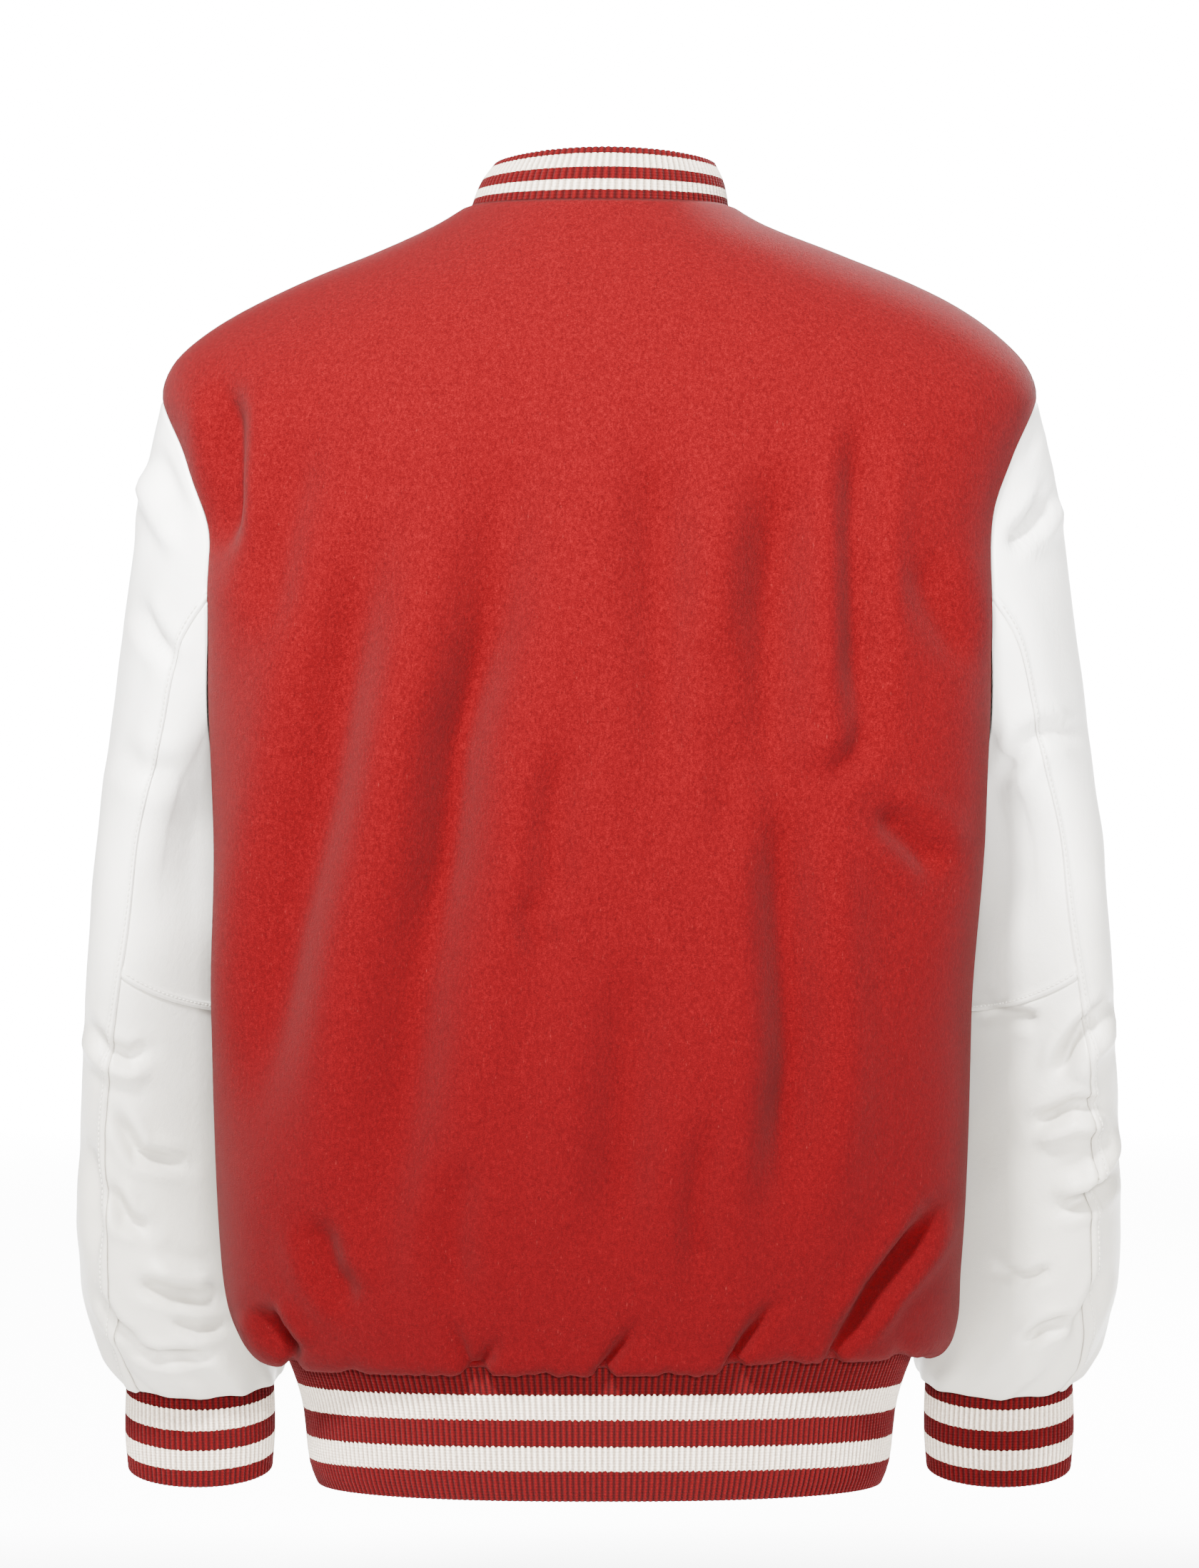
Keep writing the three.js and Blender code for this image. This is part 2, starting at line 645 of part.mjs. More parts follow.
// The angle at which a ring of the front reaches a place beside the centre line.
function frontAngle(rows, x, down) {
  const row = section(rows, down);
  return -Math.PI / 2 + Math.asin(signedPower(x / row.half, row.frontPower / 2));
}

function openBand(name, rows, ribs, halfGap, innerColumns) {
  const surface = (angle, down) => ringPoint(rows, angle, down);
  const rises = surface(0, 1).z > surface(0, 0).z ? -1 : 1;
  const normal = (angle, down) => outward(surface, angle, down, 0.02, 0.05).multiplyScalar(rises);
  const middle = (angle) => surface(angle, 1);
  const from = frontAngle(rows, halfGap, 1);
  const to = 1.5 * Math.PI - (from + Math.PI / 2);
  return ribBand(name, {
    surface,
    normal,
    angles: evenSteps(middle, from, to, ribs * 2),
    innerAngles: evenSteps(middle, from, to, innerColumns),
    downs: [0, 1, 2],
  });
}

function cuff(name, side) {
  const surface = (angle, down) => ellipsePoint(cuffRows, angle, down);
  const normal = (angle, down) => outward(surface, angle, down, 0.05, 0.05);
  const middle = (angle) => surface(angle, 1);
  return ribBand(name, {
    surface,
    normal,
    angles: evenSteps(middle, 0, 2 * Math.PI, CUFF_RIBS * 2).slice(0, -1),
    innerAngles: evenSteps(middle, 0, 2 * Math.PI, 24).slice(0, -1),
    downs: [0, 1, 2],
    closed: true,
    mirror: side < 0,
  });
}

// The wool end of the waistband. The right one dips under the left.
function waistTab(name, side) {
  const surface = (angle, down) => ringPoint(waistRows, angle, down);
  const normal = (angle, down) => outward(surface, angle, down, 0.02, 0.05);
  const outer = [];
  const inner = [];
  const from = frontAngle(waistRows, side * TAB_WIDTH, 1);
  const to = frontAngle(waistRows, -side * LAP, 1);
  for (const down of [0, 0.5, 1, 1.5, 2]) {
    const outerRow = [];
    const innerRow = [];
    for (let column = 0; column <= 6; column += 1) {
      const angle = lerp(from, to, column / 6);
      const p = surface(angle, down);
      const way = normal(angle, down);
      const dip = side < 0 ? (TAB_WALL + SEAT_GAP) * ease((p.x + TAB_WIDTH - 6) / 16) : 0;
      p.addScaledVector(way, -dip);
      outerRow.push(p);
      innerRow.push(p.clone().addScaledVector(way, -TAB_WALL));
    }
    outer.push(outerRow);
    inner.push(innerRow);
  }
  const edges = { first: true };
  return wall(name, materials.wool, easeEdges(outer, edges, SEAM_GAP), easeEdges(inner, edges, SEAM_GAP));
}

// A pressed snap cap, seated on the cloth at a point and facing along a direction.
function snapCap(name, seat, way) {
  const profile = [
    [0, 0], [SNAP_RADIUS - 0.3, 0], [SNAP_RADIUS, 1.1], [SNAP_RADIUS * 0.72, 2.8], [0, SNAP_HEIGHT],
  ].map(([radius, height]) => new THREE.Vector2(radius, height));
  const mesh = new THREE.Mesh(new THREE.LatheGeometry(profile, 14), materials.snap);
  mesh.name = name;
  mesh.position.copy(seat).addScaledVector(way, SEAT_GAP);
  mesh.quaternion.setFromUnitVectors(new THREE.Vector3(0, 1, 0), way);
  return mesh;
}

const jacket = new THREE.Group();
const lapStep = (WOOL + LAP_GAP) / 2;
jacket.add(bodyPanel("back", true, 1, 0));
jacket.add(bodyPanel("front_left", false, 1, lapStep));
jacket.add(bodyPanel("front_right", false, -1, -lapStep));

for (const [word, side] of [["left", 1], ["right", -1]]) {
  const long = [...UPPER_SHARES, ...LOWER_SHARES.slice(1)];
  jacket.add(sleevePanel("sleeve_top_" + word, side, long, true, {}));
  jacket.add(sleevePanel("sleeve_upper_" + word, side, UPPER_SHARES, false, { bottom: true }));
  jacket.add(sleevePanel("sleeve_lower_" + word, side, LOWER_SHARES, false, { top: true }));
  jacket.add(cuff("cuff_" + word, side));
  jacket.add(waistTab("tab_" + word, side));
}

jacket.add(openBand("collar", collarRows, COLLAR_RIBS, 1.5, 48));
jacket.add(openBand("waistband", waistRows, WAIST_RIBS, TAB_WIDTH + SEAM_GAP, 72));

SNAP_DOWNS.forEach((down, i) => {
  const way = bodyNormal(-Math.PI / 2, down);
  const seat = bodyForm(-Math.PI / 2, down).addScaledVector(way, lapStep);
  jacket.add(snapCap("snap_" + (i + 1), seat, way));
});
const waistSurface = (angle, down) => ringPoint(waistRows, angle, down);
const tabSnapDown = 2 * TAB_SNAP_SHARE;
const tabWay = outward(waistSurface, -Math.PI / 2, tabSnapDown, 0.02, 0.05);
jacket.add(snapCap("snap_7", waistSurface(-Math.PI / 2, tabSnapDown), tabWay));

export default jacket;
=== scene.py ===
import math

import bpy
import numpy as np
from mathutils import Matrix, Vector


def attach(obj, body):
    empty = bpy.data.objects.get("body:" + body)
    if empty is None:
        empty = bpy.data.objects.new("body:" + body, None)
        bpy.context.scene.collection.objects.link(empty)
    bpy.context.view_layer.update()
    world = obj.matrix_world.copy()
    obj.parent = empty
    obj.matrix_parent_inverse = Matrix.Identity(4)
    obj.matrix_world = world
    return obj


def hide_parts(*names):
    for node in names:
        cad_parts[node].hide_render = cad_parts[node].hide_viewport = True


# A varsity jacket: melton wool body, leather sleeves, striped rib collar, cuffs and waistband.
# Shapes are worked out in millimetres and turned into metres when a mesh is made.
# +Z is up, the front faces -Y and +X is the wearer's left.
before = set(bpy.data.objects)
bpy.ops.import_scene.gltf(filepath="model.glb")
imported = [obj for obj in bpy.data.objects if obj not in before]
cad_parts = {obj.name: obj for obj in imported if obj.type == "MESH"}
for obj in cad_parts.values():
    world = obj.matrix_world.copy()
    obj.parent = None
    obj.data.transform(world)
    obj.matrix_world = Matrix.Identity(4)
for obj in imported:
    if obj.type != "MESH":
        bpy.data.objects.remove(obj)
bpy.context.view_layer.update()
MM = 0.001

# Walls and seams
WOOL = 2.2
LEATHER = 1.6
RIB = 2.6
RIB_DEPTH = 1.1
SEAM_GAP = 0.16
SEAT_GAP = 0.4
LAP = 14
LAP_MARGIN = 24
LAP_GAP = 0.9
LAP_BLEND = 34
LAP_STEP = (WOOL + LAP_GAP) / 2
NECK_EASE = 3.4
TAB_WIDTH = 40
TAB_WALL = 2.2
TAB_CLOTH = TAB_WALL - 0.9
TAB_REACH = 128
HALF_WAIST_HEIGHT = 41
WELT_WIDTH = 5.5
WELT_HEIGHT = 1.2
STITCH_INSET = 1.2

# Ribs all round each band
WAIST_RIBS = 264
COLLAR_RIBS = 121
CUFF_RIBS = 77
RIB_POINTS = 8

# Height of one knitted loop, in metres
LOOP_HEIGHT = 0.0016


def table(columns, rows):
    """Rows of numbers as one array for each named column."""
    return {name: np.array([row[i] for row in rows], float) for i, name in enumerate(columns.split())}


# Sections round the body: half width, height at the side, back and front, depth there, and how square
# each half is.
RING = "down half side back front sideY backY frontY backPower frontPower"
BODY = table(RING, [
    [0, 73, 2, 0, -72, 0, 74, 78, 2, 2],
    [23, 93, -10, -14, -86, 2, 84, 88, 2.05, 2.05],
    [66, 130, -26, -36, -100, 5, 98, 98, 2.15, 2.1],
    [108, 168.5, -42, -58, -112, 8, 110, 110, 2.25, 2.2],
    [143, 200, -58, -80, -122, 11, 119, 118, 2.35, 2.3],
    [170, 223, -74, -102, -134, 14, 126, 126, 2.45, 2.3],
    [191, 238, -90, -122, -146, 17, 131, 131, 2.5, 2.3],
    [210, 243, -108, -142, -160, 20, 135, 135, 2.5, 2.25],
    [243, 232, -141, -167, -180, 26, 137, 136, 2.7, 2.4],
    [275, 221, -173, -192, -200, 33, 138, 137, 2.95, 2.45],
    [322, 218, -220, -232, -236, 41, 138, 139, 2.9, 2.35],
    [382, 216, -280, -286, -288, 42, 138, 141, 2.75, 2.2],
    [437, 214, -335, -337, -338, 40, 138, 143, 2.6, 2.1],
    [540, 211, -438, -438, -438, 32, 139, 146, 2.5, 2.05],
    [610, 209.5, -508, -508, -508, 28, 140, 147, 2.4, 2.05],
    [660, 207.5, -558, -558, -558, 26, 140.5, 147, 2.4, 2.1],
    [696, 205, -594, -594, -594, 24, 140, 146, 2.4, 2.15],
    [718, 202.5, -616, -615, -615, 22, 138.5, 144, 2.4, 2.2],
    [733, 197.5, -630, -628, -628, 20, 136, 141, 2.4, 2.2],
    [743, 190.5, -637.5, -635.5, -635.5, 18, 133, 137.5, 2.4, 2.2],
    [751, 182, -640, -638, -638, 16, 129.5, 133.5, 2.4, 2.2],
    [757, 176.2, -639, -637, -637, 15, 125.6, 129.8, 2.4, 2.2],
])
BODY_LEAN = 4.5
SHOULDER_LEAN = 3.3
HEM_LIFT = 6

TIP_DOWN = 210
UNDERARM_DOWN = 437
HEM_DOWN = 757
ARMHOLE_SPREAD = math.radians(22)
UNDERARM_TURN = math.radians(-22)
ARMHOLE_OUT = np.array([0.98, 0, -0.19]) / math.hypot(0.98, 0.19)

# Sections of the left sleeve: its centre, its half sizes and how far it is turned, in degrees.
SLEEVE_TILT = math.radians(14)
OVAL = "down z x y depth width turn"
SLEEVE = table(OVAL, [
    [0, -108, 144, 17, 56, 100, 2],
    [57, -165, 167, 14, 62.8, 90, 7],
    [112, -220, 200, 4.5, 63.5, 64, 14.6],
    [172, -280, 221, -16.4, 71, 49.5, 18.7],
    [227, -335, 232.5, -36, 86, 38.5, 22],
    [290, -398, 232.8, -50, 96, 38, 25],
    [332, -440, 235.4, -62, 94, 39, 26],
    [397, -505, 240, -80, 86, 42, 27],
    [436, -544, 242.5, -90, 82, 45, 26],
    [470, -578, 243.6, -98, 79, 47, 25],
    [503, -611, 243.5, -106, 71, 50, 20],
    [537, -643, 238, -114, 59, 51.5, 12],
    [552, -656.5, 233.5, -117, 50.5, 49.5, 7],
    [561, -663.5, 231.5, -119, 44, 46.5, 4],
    [565, -664.5, 231.5, -119, 38.6, 45.1, 2],
])
CUFF = table(OVAL, [
    [0, -658.5, 231.5, -118, 36, 42.6, 2],
    [1, -694, 231.8, -122, 37, 43.6, 0],
    [2, -718.5, 231.8, -124, 35.5, 42, 0],
])
SLEEVE_LENGTH = 565
SLEEVE_TOP_Z = -108
SLEEVE_BESIDE_BODY = 540
SLEEVE_BLEND = 0.3
BODY_CLEARANCE = 4
ELBOW_SHARE = 0.4
ELBOW_RISE = 0.065

# The back sleeve seam: its angle in degrees at each share of the sleeve's length
SEAM = table("down angle", [
    [0, 90], [0.06, 90], [0.17, 101], [0.28, 106], [0.4, 103], [0.61, 93], [0.77, 90], [0.88, 76], [1, 46],
])
FRONT_SEAM_ANGLE = math.radians(252)

COLLAR = table(RING, [
    [0, 72.8, -1.5, -3.5, -75.5, 0, 73.8, 77.8, 2, 2],
    [1, 68.5, 14, 15, -55, 0, 70, 74, 2, 2],
    [2, 61.5, 26, 29.5, -37, 0, 63, 66, 2, 2],
])
COLLAR_LEAN = 3.2
WAIST = table(RING, [
    [0, 177.6, -631, -629, -629, 15, 125.7, 129.8, 2.4, 2.2],
    [1, 166, -664, -662, -662, 14, 122.5, 126, 2.4, 2.2],
    [1.7, 161.5, -699, -697, -697, 13, 119.5, 123, 2.4, 2.2],
    [2, 157, -711, -711, -712, 13, 117, 120, 2.4, 2.2],
])

# Creases of the wool, on the back (side 1) or on the front (side -1): half width, depth and the line
# of the trough as x and z.
CREASE_GAIN = 2.6
CREASE_SPREAD = 1.3
SLACK_DEPTH = 1.1
BACK_SWELL = 2.2
HEM_SWELL = 1.6
PUCKER_DEPTH = 0.5
BODY_CREASES = [
    (1, 15, 6.5, [
        (43, -118), (51, -179), (60, -240), (76, -301), (84, -368), (99, -429), (110, -510), (121, -582),
    ]),
    (1, 8, 2.6, [(58, -230), (78, -300), (86, -362), (98, -410)]),
    (1, 13, 5.5, [(122, -170), (135, -245), (150, -325), (170, -396), (194, -512)]),
    (1, 12, 3.6, [(-31, -130), (-33, -212), (-36, -278), (-42, -335)]),
    (1, 13, 5.5, [(-100, -145), (-93, -226), (-90, -306), (-100, -340)]),
    (1, 11, 6.0, [(-97, -320), (-103, -400), (-107, -471), (-99, -556)]),
    (1, 8, 4.2, [(-143, -120), (-138, -189), (-140, -259), (-145, -303)]),
    (1, 6, 1.8, [(-147, -290), (-138, -308), (-120, -322)]),
    (1, 9, 2.2, [(-172, -196), (-184, -226), (-200, -260)]),
    (1, 7, 3.2, [(-150, -335), (-168, -350), (-189, -370)]),
    (1, 13, 3.6, [(-18, -410), (-13, -500), (-8, -578)]),
    (1, 7, 2.2, [(40, -380), (35, -400), (29, -418)]),
    (1, 6, 3.2, [(155, -556), (147, -586), (132, -606)]),
    (1, 5, 4.8, [(-186, -552), (-174, -569), (-163, -582), (-151, -597), (-143, -612), (-132, -630)]),
    (1, 7, 5.0, [(208, -100), (203, -122), (203, -168), (206, -200)]),
    (1, 5, 4.0, [(186, -606), (179, -622), (173, -630), (164, -638)]),
    (1, 9, 2.6, [(20, -300), (26, -350), (24, -396)]),
    (1, 9, 2.6, [(-62, -230), (-66, -300), (-70, -370)]),
    (1, 8, 2.4, [(72, -520), (80, -566), (76, -604)]),
    (1, 8, 2.4, [(-60, -500), (-52, -548), (-56, -596)]),
    (1, 10, 2.4, [(160, -130), (172, -190), (178, -250)]),
    (-1, 13, 5.5, [(98, -170), (106, -280), (110, -400), (122, -560)]),
    (-1, 9, 3.4, [(52, -360), (50, -440), (62, -560)]),
    (-1, 12, 5.0, [(-96, -180), (-104, -300), (-108, -430), (-118, -570)]),
    (-1, 9, 3.2, [(-56, -330), (-50, -430), (-66, -570)]),
    (-1, 8, 3.4, [(150, -250), (140, -330), (150, -430)]),
    (-1, 8, 3.4, [(-152, -260), (-146, -350), (-158, -450)]),
    (-1, 7, 4.0, [(172, -545), (152, -590), (140, -628)]),
    (-1, 7, 4.0, [(-170, -550), (-156, -590), (-146, -628)]),
]

# Tucks at the waist seam: side, x across, half width, depth, how high each runs, and how far it leans
# across for each millimetre that it rises.
TUCKS = [
    (1, 168, 5, 7, 40, 0.3), (1, 134, 6, 2.5, 22, 0), (1, 64, 4.5, 9, 34, -0.35), (1, 70, 3.5, 7, 46, 0.35),
    (1, 32, 7, 2, 18, 0), (1, -2, 4, 9, 44, -0.6), (1, -38, 7, 2, 18, 0), (1, -72, 4.5, 11, 56, -0.55),
    (1, -102, 6, 2.5, 20, 0), (1, -126, 4, 8, 40, -0.5), (1, -164, 6, 4, 26, 0),
    (-1, 150, 5, 7, 44, 0.3), (-1, 112, 6, 3, 18, 0), (-1, 82, 5, 9, 58, 0.4), (-1, 44, 6, 3, 16, 0),
    (-1, -46, 6, 3, 18, 0), (-1, -80, 5, 9, 60, -0.4), (-1, -118, 6, 3, 18, 0), (-1, -148, 5, 7, 44, -0.3),
]

# Creases of the leather: which sleeve (1 is the wearer's left), seen from behind (1) or before (-1),
# half width, depth (a ridge where negative) and the line as distance outwards and z.
LEATHER_GAIN = 2.1
LEATHER_SPREAD = 0.85
LEATHER_SLACK = 0.8
GATHER_DEPTH = 1.2
SLEEVE_CREASES = [
    (1, 1, 7, 4.0, [(248, -134), (233, -160), (219, -178)]),
    (1, 1, 6, -2.4, [(256, -150), (244, -176), (230, -196)]),
    (1, 1, 6, 3.0, [(257, -220), (247, -239), (238, -250), (235, -262)]),
    (1, 1, 9, 2.2, [(270, -300), (254, -314), (228, -318)]),
    (1, 1, 5, 2.8, [(288, -452), (276, -470), (262, -474), (250, -470)]),
    (1, 1, 6, -1.4, [(287, -464), (270, -483), (250, -486)]),
    (1, 1, 5, 3.4, [(272, -505), (259, -530), (232, -538)]),
    (1, 1, 5, 3.4, [(277, -546), (267, -567), (253, -575)]),
    (1, 1, 6, -2.6, [(256, -593), (238, -600), (220, -605)]),
    (1, 1, 5, 3.0, [(262, -604), (240, -612), (218, -616)]),
    (1, 1, 4, 3.6, [(268, -642), (252, -648), (218, -648)]),
    (1, 1, 4, 2.6, [(286, -610), (276, -630), (262, -640)]),
    (1, 1, 4, 2.4, [(243, -626), (228, -632), (212, -632)]),
    (1, 1, 6, 3.0, [(290, -520), (284, -560), (286, -590)]),
    (-1, 1, 6, 4.8, [(222, -192), (237, -180), (248, -165), (251, -156)]),
    (-1, 1, 4, 2.6, [(232, -144), (238, -133), (240, -120)]),
    (-1, 1, 7, 2.6, [(270, -293), (246, -293), (236, -299), (219, -325)]),
    (-1, 1, 5, 2.6, [(214, -449), (230, -452), (246, -454)]),
    (-1, 1, 5, 4.8, [(286, -444), (269, -458), (261, -470), (254, -487)]),
    (-1, 1, 6, -2.6, [(288, -458), (274, -474), (268, -492)]),
    (-1, 1, 5, 3.6, [(243, -514), (264, -503), (284, -502)]),
    (-1, 1, 6, -2.4, [(243, -524), (266, -514), (286, -514)]),
    (-1, 1, 6, -3.4, [(254, -551), (272, -546), (283, -537), (292, -517)]),
    (-1, 1, 5, 3.6, [(256, -562), (276, -556), (291, -540)]),
    (-1, 1, 4, 3.6, [(240, -640), (252, -631), (270, -625)]),
    (-1, 1, 5, 2.8, [(288, -596), (280, -616), (268, -640)]),
    (-1, 1, 4, 2.6, [(222, -596), (240, -602), (256, -596)]),
    (1, -1, 9, 4.5, [(262, -250), (236, -270), (205, -262)]),
    (1, -1, 8, 4.5, [(276, -400), (246, -420), (214, -410)]),
    (1, -1, 7, 4.0, [(288, -470), (258, -490), (222, -486)]),
    (1, -1, 6, 3.6, [(286, -560), (256, -574), (224, -568)]),
    (1, -1, 5, 3.4, [(280, -620), (250, -634), (220, -626)]),
    (-1, -1, 9, 4.5, [(258, -240), (232, -262), (202, -250)]),
    (-1, -1, 8, 4.5, [(280, -390), (250, -412), (216, -404)]),
    (-1, -1, 7, 4.0, [(286, -480), (256, -496), (222, -490)]),
    (-1, -1, 6, 3.6, [(288, -550), (258, -566), (226, -560)]),
    (-1, -1, 5, 3.4, [(278, -626), (250, -638), (222, -632)]),
]

# Stripes of each band: the shares of its height, from its first row, at which the colour changes.
WAIST_STRIPES = (0.285, 0.449, 0.627, 0.787)
COLLAR_STRIPES = (0.227, 0.4, 0.61, 0.862)
CUFF_STRIPES = (0.242, 0.442, 0.633, 0.825)

# Snaps down the centre front, and the radius and height of a cap's outline from back to crown
SNAP_DOWNS = (30, 262, 380, 478, 576, 674)
TAB_SNAP_DOWN = 1.24
SNAP_GAP = 0.3
SNAP_SIDES = 48
SNAP_PROFILE = [
    (0, 0.2), (6.4, 0.1), (7.2, 0.3), (7.5, 0.9), (7.4, 1.5), (6.9, 1.95), (6.2, 2.05), (5.6, 1.8),
    (5.2, 1.75), (4.8, 2.1), (4.0, 2.6), (2.6, 3.05), (1.2, 3.3), (0, 3.35),
]

# Studio, in metres
FLOOR_HEIGHT = -0.86
FLOOR_HALF = 14.0
WALL_HALF = 2.4
WALL_TOP = 2.6
WALL_AWAY = 6.4
GLOW_START = 0.55
GLOW_RISE = 2.2

# Camera: level, behind the jacket
CAMERA_DISTANCE = 3.4
CAMERA_HEIGHT = -0.322
FOCAL_PIXELS = 8500
IMAGE_HEIGHT = 2197
SENSOR = 36


def ease(value):
    """A smooth step from 0 to 1. ease((x - start) / width) fades something in over a width."""
    x = np.clip(value, 0, 1)
    return x * x * (3 - 2 * x)


def bump(value, wide):
    """A bell 1 high."""
    return np.exp(-((value / wide) ** 2))


def signed_power(value, power):
    return np.sign(value) * np.abs(value) ** power


def lerp(a, b, share):
    return a + (b - a) * share


def soft_min(a, b, width):
    """The smaller of two numbers, rounded where they cross."""
    h = np.clip(0.5 + 0.5 * (b - a) / width, 0, 1)
    return lerp(b, a, h) - width * h * (1 - h)


def unit(vectors):
    return vectors / np.maximum(np.linalg.norm(vectors, axis=-1, keepdims=True), 1e-12)


def travel(points):
    """The distance travelled along a path at each of its points."""
    return np.concatenate([[0], np.cumsum(np.linalg.norm(np.diff(points, axis=0), axis=1))])


def on_side(points, side):
    """Points of the left side, mirrored where side is -1."""
    return points * np.array([side, 1, 1])


def section(rows, down):
    """A table's columns at any length down, on a smooth curve through its rows."""
    x = rows["down"]
    down = np.asarray(down, float)
    i = np.clip(np.searchsorted(x, down, side="right") - 1, 0, len(x) - 2)
    low = np.maximum(i - 1, 0)
    high = np.minimum(i + 2, len(x) - 1)
    step = x[i + 1] - x[i]
    t = (down - x[i]) / step
    result = {}
    for name, y in rows.items():
        slope_in = (y[i + 1] - y[low]) / (x[i + 1] - x[low]) * step
        slope_out = (y[high] - y[i]) / (x[high] - x[i]) * step
        result[name] = (
            (1 + 2 * t) * (1 - t) ** 2 * y[i] + t * (1 - t) ** 2 * slope_in
            + t * t * (3 - 2 * t) * y[i + 1] + t * t * (t - 1) * slope_out
        )
    return result


def ring_point(rows, angle, down):
    """A point of a ring: angle 0 is the left side and a quarter turn on is the back."""
    angle, down = np.broadcast_arrays(np.asarray(angle, float), np.asarray(down, float))
    row = section(rows, down)
    c, s = np.cos(angle), np.sin(angle)
    back = s >= 0
    power = 2 / np.where(back, row["backPower"], row["frontPower"])
    reach = np.where(back, row["backY"] - row["sideY"], row["frontY"] + row["sideY"])
    level = np.where(back, row["back"], row["front"])
    return np.stack([
        row["half"] * signed_power(c, power),
        row["sideY"] + reach * signed_power(s, power),
        row["side"] + (level - row["side"]) * s * s,
    ], axis=-1)


def outward(surface, angle, down, step_angle, step_down):
    """The direction out of a surface, by the points a little before and after."""
    along = surface(angle, down + step_down) - surface(angle, down - step_down)
    around = surface(angle + step_angle, down) - surface(angle - step_angle, down)
    return unit(np.cross(along, around))


def ellipse_point(rows, angle, down):
    """A point of the left sleeve's sections: angle 0 is the outside."""
    row = section(rows, down)
    turn = np.radians(row["turn"])
    out = row["width"] * np.cos(angle)
    back = row["depth"] * np.sin(angle)
    dx = out * np.cos(turn) + back * np.sin(turn)
    dy = -out * np.sin(turn) + back * np.cos(turn)
    return np.stack([
        row["x"] + dx,
        row["y"] + dy * math.cos(SLEEVE_TILT),
        row["z"] - dy * math.sin(SLEEVE_TILT),
    ], axis=-1)


def sleeve_limit(y, z):
    """The x of the sleeve's side that faces the body, or far off where there is none."""
    level = SLEEVE_TOP_Z - z
    row = section(SLEEVE, np.clip(level, 0, SLEEVE_BESIDE_BODY))
    level = level - (y - row["y"]) * math.tan(SLEEVE_TILT)
    row = section(SLEEVE, np.clip(level, 0, SLEEVE_BESIDE_BODY))
    turn = np.radians(row["turn"])
    c, s = np.cos(turn), np.sin(turn)
    depth = row["depth"] + BODY_CLEARANCE
    width = row["width"] + BODY_CLEARANCE
    dy = (y - row["y"]) / math.cos(SLEEVE_TILT)
    square = (s / depth) ** 2 + (c / width) ** 2
    half = dy * c * s / depth ** 2 - dy * c * s / width ** 2
    rest = (dy * c / depth) ** 2 + (dy * s / width) ** 2 - 1
    inside = half * half - square * rest
    limit = row["x"] + (-half - np.sqrt(np.maximum(inside, 0))) / square
    return np.where(inside > 0, limit, 1000)


def body_form(angle, down):
    """The body before its creases: rings, pressed in a little beside the hanging sleeves."""
    p = ring_point(BODY, angle, down)
    lean = ease((down - UNDERARM_DOWN - 8) / 110) * (1 - ease((down - 690) / 67))
    yoke = ease((down - 10) / 60) * (1 - ease((down - 120) / 70))
    x = p[..., 0] + BODY_LEAN * lean - SHOULDER_LEAN * yoke
    pressed = ease((down - UNDERARM_DOWN + 25) / 35) * (1 - ease((down - 640) / 60))
    limit = sleeve_limit(p[..., 1], p[..., 2])
    near = np.minimum(soft_min(np.abs(x), limit, 8), np.abs(x))
    p[..., 0] = np.sign(x) * lerp(np.abs(x), near, pressed)
    return p


def body_normal(angle, down):
    return outward(body_form, angle, down, 0.02, 3)


def crease(x, z, line, wide, deep):
    """Depth of a soft trough along a line, shallower at its ends, with a low lip on each side."""
    points = np.array(line, float)
    ends = np.diff(points, axis=0)
    lengths = np.hypot(ends[:, 0], ends[:, 1])
    starts = np.concatenate([[0], np.cumsum(lengths)])
    nearest = np.full(x.shape, 1e9)
    along = np.zeros(x.shape)
    for start, way, length, before in zip(points, ends, lengths, starts):
        dx, dz = x - start[0], z - start[1]
        t = np.clip((dx * way[0] + dz * way[1]) / length ** 2, 0, 1)
        distance = np.hypot(dx - t * way[0], dz - t * way[1])
        closer = distance < nearest
        nearest = np.where(closer, distance, nearest)
        along = np.where(closer, before + t * length, along)
    share = along / starts[-1]
    taper = ease(share / 0.35 + 0.2) * ease((1 - share) / 0.35 + 0.2)
    lips = bump(nearest - 1.9 * wide, wide)
    return deep * taper * (bump(nearest, wide) - 0.3 * lips)


def waves(x, seed, count, low, high):
    """A sum of sine waves of fixed pseudo-random lengths and phases, about 1 high."""
    source = np.random.default_rng(seed)
    lengths = source.uniform(low, high, count)
    phases = source.uniform(0, 2 * math.pi, count)
    return sum(np.sin(2 * math.pi * x / l + f) for l, f in zip(lengths, phases)) / math.sqrt(count)


def ring_waves(angle, seed, count, low, high):
    """A sum of sine waves of fixed pseudo-random whole counts round a ring, about 1 high."""
    source = np.random.default_rng(seed)
    counts = source.integers(low, high, count)
    phases = source.uniform(0, 2 * math.pi, count)
    return sum(np.sin(k * angle + f) for k, f in zip(counts, phases)) / math.sqrt(count)


